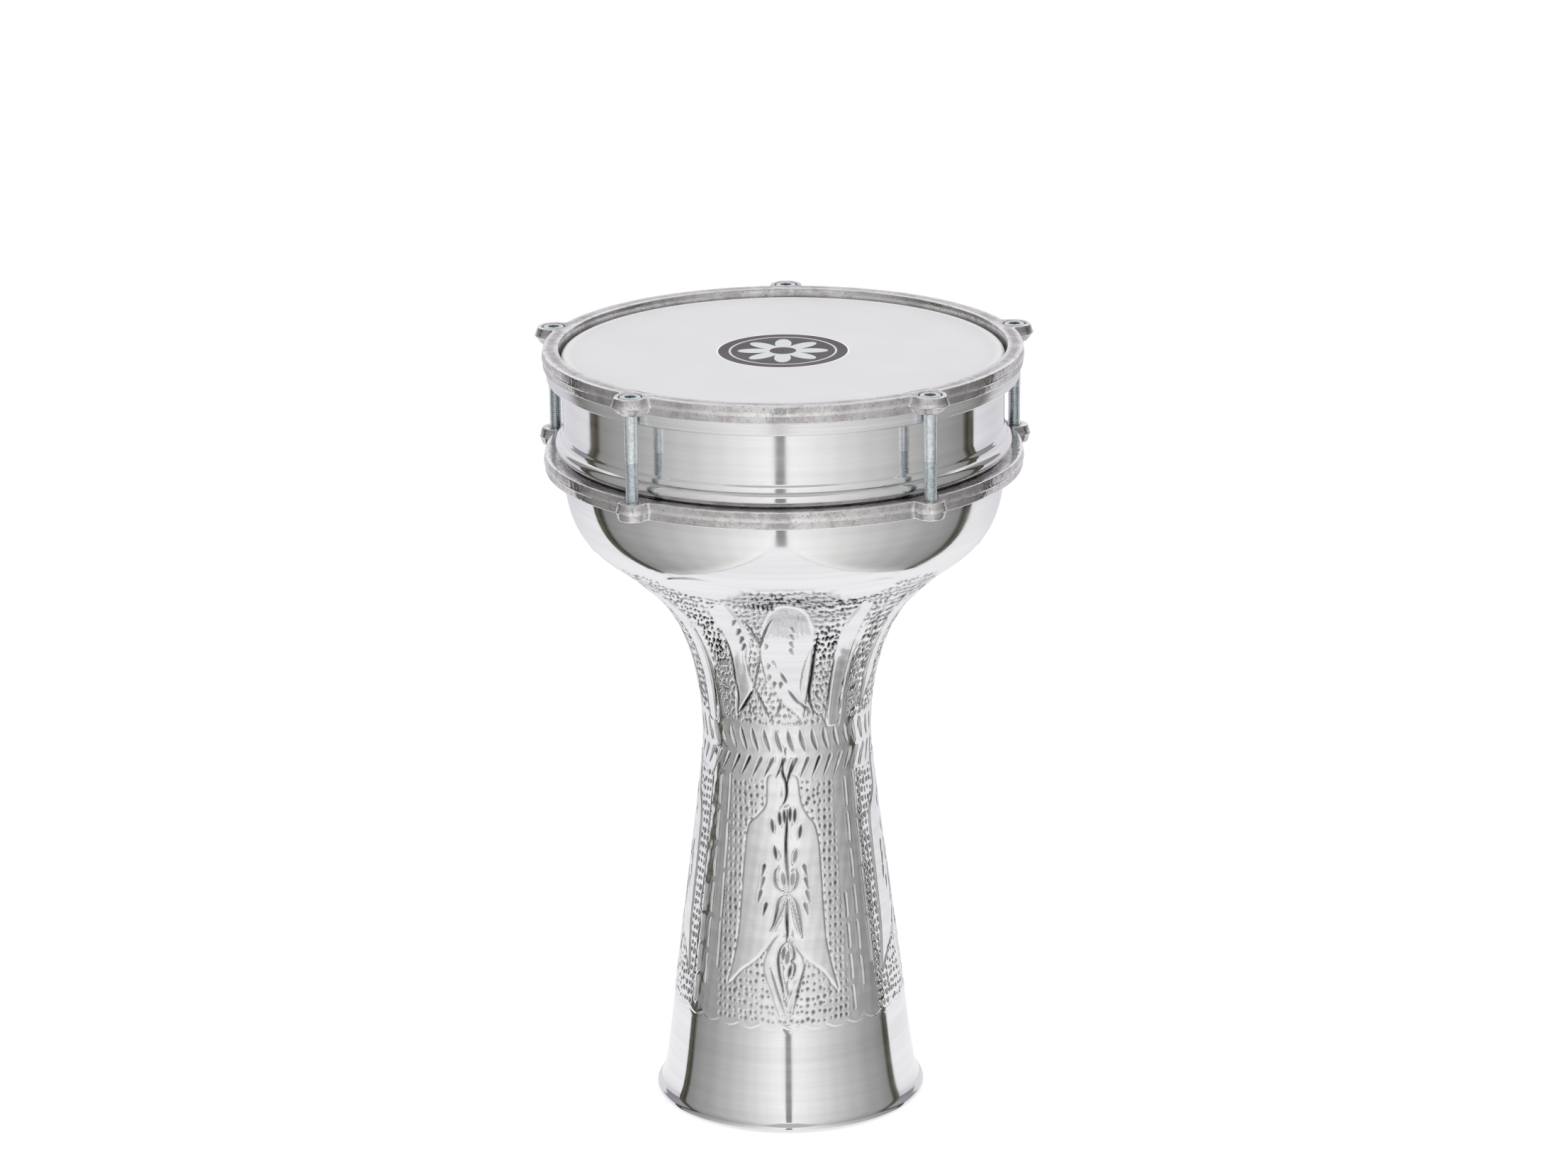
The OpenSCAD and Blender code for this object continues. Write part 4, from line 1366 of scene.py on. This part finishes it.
@dataclass
class TensionBolt:
    """A socket-head bolt with a knurled head and a cut thread."""

    index: int
    x: float
    y: float
    low_z: float
    high_z: float
    head_r: float = 5.0
    head_h: float = 6.0
    shank_r: float = 3.0
    root_r: float = 2.42
    pitch: float = 1.0
    thread_h: float = 25.0
    socket_af: float = 5.0
    socket_depth: float = 3.0

    def build(self, blank: bmesh.types.BMesh) -> None:
        """Sets a copy of the shared blank at this bolt's place, as one piece."""
        bm = blank.copy()
        bmesh.ops.translate(bm, vec=(self.x, self.y, 0), verts=bm.verts)
        obj = new_object(f"TensionBolt{self.index}", bm, sharp=38)
        finish_piece(obj, ZINC_STEEL, f"bolt_{self.index}", (f"tension_bolt_{self.index}",))

    def blank(self) -> bmesh.types.BMesh:
        """The bolt on the Z axis: its head with the shank, and the thread round it."""
        bm = self.head_and_shank()
        self.add_thread(bm)
        return bm

    def head_and_shank(self) -> bmesh.types.BMesh:
        """Turned head and shank; the hex socket is inset and pushed down from the top."""
        hr, top, seat = self.head_r, self.high_z, self.high_z - self.head_h
        thread_top = self.low_z + self.thread_h
        path = [(hr - 0.75, top), (hr - 0.35, top - 0.12), (hr - 0.1, top - 0.4), (hr, top - 0.8)]
        path += [(hr, top - 1.2 - 0.6 * i) for i in range(8)]
        path += [(hr - 0.15, seat), (self.shank_r + 0.25, seat), (self.shank_r, seat - 0.3),
                 (self.shank_r, thread_top + 0.8), (self.root_r, thread_top - 0.4),
                 (self.root_r, self.low_z + 0.6), (self.root_r - 0.5, self.low_z)]
        bm = bmesh.new()
        verts = [bm.verts.new((r, 0, z)) for r, z in path]
        edges = [bm.edges.new(pair) for pair in zip(verts, verts[1:])]
        bmesh.ops.spin(bm, geom=verts + edges, cent=(0, 0, 0), axis=(0, 0, 1), angle=2 * math.pi, steps=72,
                       use_merge=True)
        bmesh.ops.remove_doubles(bm, verts=bm.verts, dist=1e-4)
        for vert in bm.verts:
            r = vert.co.xy.length
            if r > hr - 0.01 and vert.co.z < top - 1.0:
                turn = round(math.degrees(math.atan2(vert.co.y, vert.co.x)) / 5)
                vert.co.xy *= (hr - 0.17 * (turn % 2)) / r
        rims = [[e for e in bm.edges if e.is_boundary and abs(e.verts[0].co.z - z) < 1e-3]
                for z in (top, self.low_z)]
        bmesh.ops.contextual_create(bm, geom=rims[1])
        self.socket(bm, rims[0], top)
        bmesh.ops.recalc_face_normals(bm, faces=bm.faces)
        return bm

    def socket(self, bm: bmesh.types.BMesh, rim: list[bmesh.types.BMEdge], top: float) -> None:
        """Draws the rim in to a hexagon and pushes it down into the head."""
        made = bmesh.ops.extrude_edge_only(bm, edges=rim)["geom"]
        ring = [v for v in made if isinstance(v, bmesh.types.BMVert)]
        self.to_hexagon(ring, 0.35)
        edges = [e for e in made if isinstance(e, bmesh.types.BMEdge) and all(v in ring for v in e.verts)]
        for drop, grow in ((0.3, 0.0), (self.socket_depth, 0.0)):
            made = bmesh.ops.extrude_edge_only(bm, edges=edges)["geom"]
            ring = [v for v in made if isinstance(v, bmesh.types.BMVert)]
            for v in ring:
                v.co.z = top - drop
            self.to_hexagon(ring, grow)
            edges = [e for e in made if isinstance(e, bmesh.types.BMEdge) and all(v in ring for v in e.verts)]
        bmesh.ops.contextual_create(bm, geom=edges)

    def to_hexagon(self, ring: list[bmesh.types.BMVert], grow: float) -> None:
        """Moves a round ring of vertices to the socket's hexagon."""
        for v in ring:
            a = math.atan2(v.co.y, v.co.x)
            local = (a + math.pi / 6) % (math.pi / 3) - math.pi / 6
            v.co.xy = v.co.xy.normalized() * (self.socket_af / 2 + grow) / math.cos(local)

    def add_thread(self, bm: bmesh.types.BMesh) -> None:
        """Spins a tooth's section up the shank as a right-hand helix."""
        turns = int(self.thread_h / self.pitch) - 1
        low = self.low_z + 0.7
        root, crest, p = self.root_r - 0.05, self.shank_r - 0.02, self.pitch
        path = [(root, low), (crest, low + 0.4 * p), (crest, low + 0.56 * p), (root, low + 0.96 * p)]
        verts = [bm.verts.new((r, 0, z)) for r, z in path]
        edges = [bm.edges.new(pair) for pair in zip(verts, verts[1:] + verts[:1])]
        steps = 32 * turns
        made = bmesh.ops.spin(bm, geom=verts + edges, cent=(0, 0, 0), axis=(0, 0, 1),
                              angle=2 * math.pi * turns, dvec=(0, 0, turns * p / steps), steps=steps)
        last = [e for e in made["geom_last"] if isinstance(e, bmesh.types.BMEdge)]
        bmesh.ops.contextual_create(bm, geom=edges)
        bmesh.ops.contextual_create(bm, geom=last)
        bmesh.ops.recalc_face_normals(bm, faces=bm.faces)


# --------------------------------------------------------------------------------------------------
# Studio
# --------------------------------------------------------------------------------------------------

@dataclass
class Studio:
    """Camera, white floor, and the tall light boards and dark gaps that the polished metal mirrors."""

    eye: tuple[float, float, float] = (-0.67, -2267.2, 961.1)
    pitch_down: float = 17.39
    turn: float = 0.92
    roll: float = -0.618
    lens: float = 115.82
    near_top: tuple[Point, Point] = ((-48.0, -830.0), (22.0, -830.0))
    near_foot: tuple[Point, Point] = ((-114.0, -694.0), (69.0, -696.0))
    board_far: tuple[Point, Point] = ((-311.0, 21.0), (322.0, 14.0))
    slit_long: float = 54.0
    board_low: float = -135.0
    board_high: float = 700.0
    bend_z: float = 20.0
    near_floor_z: float = -20.0
    white_strength: float = 1.06
    floor_r: float = 9000.0
    mirrored_floor_r: float = 3200.0
    gap_y: float = -838.0
    room_r: float = 2900.0
    room_low: float = -700.0
    room_high: float = 2600.0
    ceiling_z: float = 1750.0
    ceiling_r: float = 1500.0

    def build(self) -> None:
        """Sets up the whole studio."""
        self.camera()
        self.world()
        self.floor()
        for side in (-1, 1):
            self.board(side)
        self.surroundings()

    def camera(self) -> None:
        """Places the camera."""
        data = bpy.data.cameras.new("Camera")
        data.lens, data.sensor_width, data.sensor_fit = self.lens, 36.0, "HORIZONTAL"
        data.clip_start, data.clip_end = 0.05, 60.0
        camera = bpy.data.objects.new("Camera", data)
        bpy.context.scene.collection.objects.link(camera)
        stand = Matrix.Rotation(math.radians(self.turn), 4, "Z") @ Matrix.Translation(Vector(self.eye) * MM)
        look = Matrix.Rotation(math.radians(90 - self.pitch_down), 4, "X")
        camera.matrix_world = stand @ look @ Matrix.Rotation(math.radians(self.roll), 4, "Z")
        bpy.context.scene.camera = camera
        bpy.context.scene.view_settings.view_transform = "Standard"

    def world(self) -> None:
        """White surroundings."""
        world = bpy.data.worlds.new("WhiteRoom")
        bpy.context.scene.world = world
        world.use_nodes = True
        back = world.node_tree.nodes["Background"]
        back.inputs["Color"].default_value = (1.0, 1.0, 1.0, 1.0)
        back.inputs["Strength"].default_value = self.white_strength

    def floor(self) -> None:
        """A round floor, far wider than the view, and the lower one that the metal mirrors."""
        floor = self.disc("Floor", self.floor_r, 0.0, 96)
        floor.data.materials.append(FLOOR.material())
        floor.visible_glossy = False
        tones = ((0.0, (0.98, 0.98, 1.0)), (1.0, (0.74, 0.73, 0.77)))
        self.mirrored_only(self.disc("MirroredFloor", self.mirrored_floor_r, self.board_low - 1.0, 96),
                           self.glow("FloorGlow", tones, 100.0, 1400.0))

    @staticmethod
    def disc(name: str, radius: float, z: float, segments: int) -> bpy.types.Object:
        """A level round sheet about the drum's axis."""
        bm = bmesh.new()
        bmesh.ops.create_circle(bm, cap_ends=True, cap_tris=False, segments=segments, radius=radius)
        bmesh.ops.translate(bm, vec=(0, 0, z), verts=bm.verts)
        return new_object(name, bm)

    def glow(self, name: str, tones: Stops, start: float, end: float, along: int = 1,
             low_tones: Stops | None = None) -> bpy.types.Material:
        """A light-giving surface whose tone runs along one axis between two places in millimetres.

        Args:
            name: The material's name.
            tones: Stops of the run: its share and its colour.
            start: Where the run starts.
            end: Where it ends.
            along: The axis: 0 for X, 1 for Y, 2 for Z.
            low_tones: Stops of the run close to the floor, or None where they are the same.

        Returns:
            The material.
        """
        material = bpy.data.materials.new(name)
        material.use_nodes = True
        sheet = NodeSheet(material.node_tree)
        shader = material.node_tree.nodes["Principled BSDF"]
        coords = sheet.place()
        places = sheet.add("ShaderNodeSeparateXYZ", {0: coords}).outputs
        share = sheet.add("ShaderNodeMapRange", {"Value": places[along], "From Min": start * MM,
                                                 "From Max": end * MM}).outputs["Result"]
        colour = self.ramp(sheet, share, tones)
        if low_tones is not None:
            low = self.ramp(sheet, share, low_tones)
            height = sheet.span(places[2], self.board_low * MM, self.near_floor_z * MM)
            colour = sheet.mix(height, low, colour)
        sheet.put(colour, shader.inputs["Emission Color"])
        shader.inputs["Emission Strength"].default_value = 1.0
        shader.inputs["Base Color"].default_value = (0.0, 0.0, 0.0, 1.0)
        shader.inputs["Specular IOR Level"].default_value = 0.0
        shader.inputs["Roughness"].default_value = 1.0
        return material

    @staticmethod
    def ramp(sheet: NodeSheet, share: object, tones: Stops) -> bpy.types.NodeSocket:
        """An eased run of tones."""
        node = sheet.add("ShaderNodeValToRGB", {0: share})
        node.color_ramp.interpolation = "EASE"
        for i, (at, tone) in enumerate(tones):
            stop = node.color_ramp.elements[i] if i < 2 else node.color_ramp.elements.new(at)
            stop.position, stop.color = at, (*tone, 1.0)
        return node.outputs["Color"]

    def flat_tone(self, name: str, tone: Tone) -> bpy.types.Material:
        """A light-giving surface of one tone."""
        return self.glow(name, ((0.0, tone), (1.0, tone)), 0.0, 1.0)

    @staticmethod
    def mirrored_only(sheet: bpy.types.Object, material: bpy.types.Material) -> None:
        """Makes a stage piece that shows only in mirrorings."""
        sheet.data.materials.append(material)
        sheet.visible_camera = sheet.visible_shadow = sheet.visible_diffuse = False

    def wall(self, name: str, plan: Sequence[Point], low: float, high: float,
             material: bpy.types.Material) -> None:
        """A standing sheet that follows a plan line."""
        bm = bmesh.new()
        verts = [bm.verts.new((x, y, low)) for x, y in plan]
        edges = [bm.edges.new(pair) for pair in zip(verts, verts[1:])]
        made = bmesh.ops.extrude_edge_only(bm, edges=edges)["geom"]
        raised = [v for v in made if isinstance(v, bmesh.types.BMVert)]
        bmesh.ops.translate(bm, vec=(0, 0, high - low), verts=raised)
        self.mirrored_only(new_object(name, bm), material)

    def board(self, side: int) -> None:
        """One light board, brightest by the camera, with dark lines along its foot and near edge."""
        index = (side + 1) // 2
        top, foot, far = self.near_top[index], self.near_foot[index], self.board_far[index]
        low, high, bend = self.board_low, self.board_high, self.bend_z
        grey = [(0.0, 1.06), (0.12, 1.05), (0.3, 0.99), (0.46, 0.9), (0.58, 0.78), (0.68, 0.65),
                (0.77, 0.53), (0.88, 0.39), (1.0, 0.29)]
        low_grey = [(0.0, 1.04), (0.3, 1.04), (0.46, 1.03), (0.58, 1.0), (0.68, 0.92), (0.77, 0.8),
                    (0.88, 0.62), (1.0, 0.42)]
        tones, low_tones = ([(at, (v, v * 0.995, v * 0.985)) for at, v in run] for run in (grey, low_grey))
        bm = bmesh.new()
        bmesh.ops.create_grid(bm, x_segments=1, y_segments=2, size=1.0)
        for vert in bm.verts:
            near = top if vert.co.y > -0.5 else foot
            x, y = near if vert.co.x < 0 else far
            vert.co = (x, y, (low, bend, high)[round(vert.co.y) + 1])
        glow = self.glow(f"BoardGlow{side}", tones, top[1], far[1], low_tones=low_tones)
        self.mirrored_only(new_object(f"Board{side}", bm), glow)
        dark = self.flat_tone(f"BoardEdge{side}", (0.07, 0.07, 0.065))
        inward = -2.0 * side
        foot_line = [(foot[0] + inward, foot[1]), (far[0] + inward, far[1])]
        lip_line = [(top[0] - 5.0 * side, top[1] + 1), (top[0], top[1] + 1)]
        self.wall(f"BoardFoot{side}", foot_line, low, low + 5, dark)
        self.wall(f"BoardLip{side}", lip_line, bend, high, dark)
        slit_end = far[1] + self.slit_long
        slit_tones = ((0.0, (0.16, 0.16, 0.145)), (0.35, (0.045, 0.045, 0.035)),
                      (0.6, (0.12, 0.11, 0.075)), (1.0, (0.05, 0.05, 0.045)))
        slit = self.glow(f"SlitTone{side}", slit_tones, far[1], slit_end)
        self.wall(f"Slit{side}", [far, (far[0] + 3 * side, slit_end)], low, high, slit)
        slit_foot = [(far[0] - 40 * side, far[1]), (far[0] + 30 * side, far[1] + 60)]
        self.wall(f"SlitFoot{side}", slit_foot, low, low + 14, dark)

    def surroundings(self) -> None:
        """The camera's side seen through the gap, the room behind the boards, and the ceiling."""
        gap = [(self.near_top[0][0] - 4, self.gap_y), (self.near_top[1][0] + 4, self.gap_y)]
        self.wall("GapBack", gap, self.board_low, self.board_high,
                  self.flat_tone("GapBackTone", (0.3, 0.3, 0.3)))
        self.wall("CameraSide", [(-900, -2300), (900, -2300)], -600, 1500,
                  self.flat_tone("CameraSideTone", (1.0, 1.0, 1.0)))
        room_tones = ((0.0, (0.86, 0.84, 0.9)), (0.3, (0.7, 0.68, 0.75)), (0.36, (0.27, 0.265, 0.28)),
                      (0.8, (0.36, 0.36, 0.37)), (1.0, (0.6, 0.6, 0.6)))
        pale_tones = ((0.0, (0.86, 0.84, 0.9)), (0.4, (0.8, 0.79, 0.82)), (1.0, (0.9, 0.9, 0.9)))
        room = self.glow("RoomTone", room_tones, self.room_low, self.room_high, 2)
        pale = self.glow("RoomBackTone", pale_tones, self.room_low, self.room_high, 2)
        for name, start, end, tone in (("RoomRight", -80, 45, room), ("RoomBack", 45, 135, pale),
                                       ("RoomLeft", 135, 260, room)):
            azimuths = np.radians(np.arange(start, end + 1, 5))
            ring = [(self.room_r * math.cos(a), self.room_r * math.sin(a)) for a in azimuths]
            self.wall(name, ring, self.room_low, self.room_high, tone)
        self.mirrored_only(self.disc("Ceiling", self.ceiling_r, self.ceiling_z, 64),
                           self.flat_tone("CeilingTone", (0.55, 0.55, 0.56)))


# --------------------------------------------------------------------------------------------------
# The whole drum
# --------------------------------------------------------------------------------------------------

@dataclass
class GobletDrum:
    """Every piece of the drum, placed from the CAD boxes."""

    bolt_count: int = 5
    ear_wall: float = 2.2
    counterbore_r: float = 5.4
    hole_r: float = 3.08
    head_h: float = 6.0
    hoop_gap: float = 1.25
    ring_gap: float = 0.15
    casting_reach: float = 9.15
    flesh_gap: float = 0.4

    def bolts(self) -> list[Point]:
        """Plan positions of the bolts, from their CAD boxes."""
        spots = []
        for i in range(self.bolt_count):
            low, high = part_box(f"tension_bolt_{i + 1}")
            spots.append(((low.x + high.x) / 2 / MM, (low.y + high.y) / 2 / MM))
        return spots

    def build(self) -> None:
        """Makes the shell, the rings, the head and the bolts."""
        shape = ShellShape.from_frame()
        bolts = self.bolts()
        hoop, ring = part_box("tension_hoop"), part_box("lower_ring")
        film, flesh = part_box("head_film"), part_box("flesh_hoop")
        head_top = hoop[1].z / MM
        ear_r, wall_r = self.counterbore_r + self.ear_wall, shape.wall_r
        EngravedShell(shape).build()
        CastRing("TensionHoopCasting", "tension_hoop", Body.HOOP, hoop[0].z / MM, head_top,
                 wall_r + self.hoop_gap, wall_r + self.casting_reach, bolts,
                 EarShape(ear_r - 1.6, ear_r + 1.5, ear_r), self.hole_r,
                 (self.counterbore_r, head_top - self.head_h)).build()
        CastRing("BackingRingCasting", "lower_ring", Body.DRUM, ring[0].z / MM, ring[1].z / MM,
                 wall_r + self.ring_gap, wall_r + self.casting_reach, bolts,
                 EarShape(6.6, 7.8, 6.6), self.hole_r).build()
        Head(film_z=film[1].z / MM, skirt_z=film[0].z / MM, skirt_out=film[1].x / MM, wall_r=wall_r,
             edge_round=shape.edge_round, flesh_low=flesh[0].z / MM, flesh_high=flesh[1].z / MM,
             flesh_in=wall_r + self.flesh_gap, flesh_out=flesh[1].x / MM).build()
        low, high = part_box("tension_bolt_1")
        pieces = [TensionBolt(i + 1, x, y, low.z / MM, high.z / MM) for i, (x, y) in enumerate(bolts)]
        blank = pieces[0].blank()
        for piece in pieces:
            piece.build(blank)
        blank.free()


def main() -> None:
    """Builds the drum and the studio."""
    logging.basicConfig(level=logging.INFO, format="%(name)s: %(message)s")
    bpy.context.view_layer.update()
    GobletDrum().build()
    Studio().build()


if __name__ == "__main__":
    main()
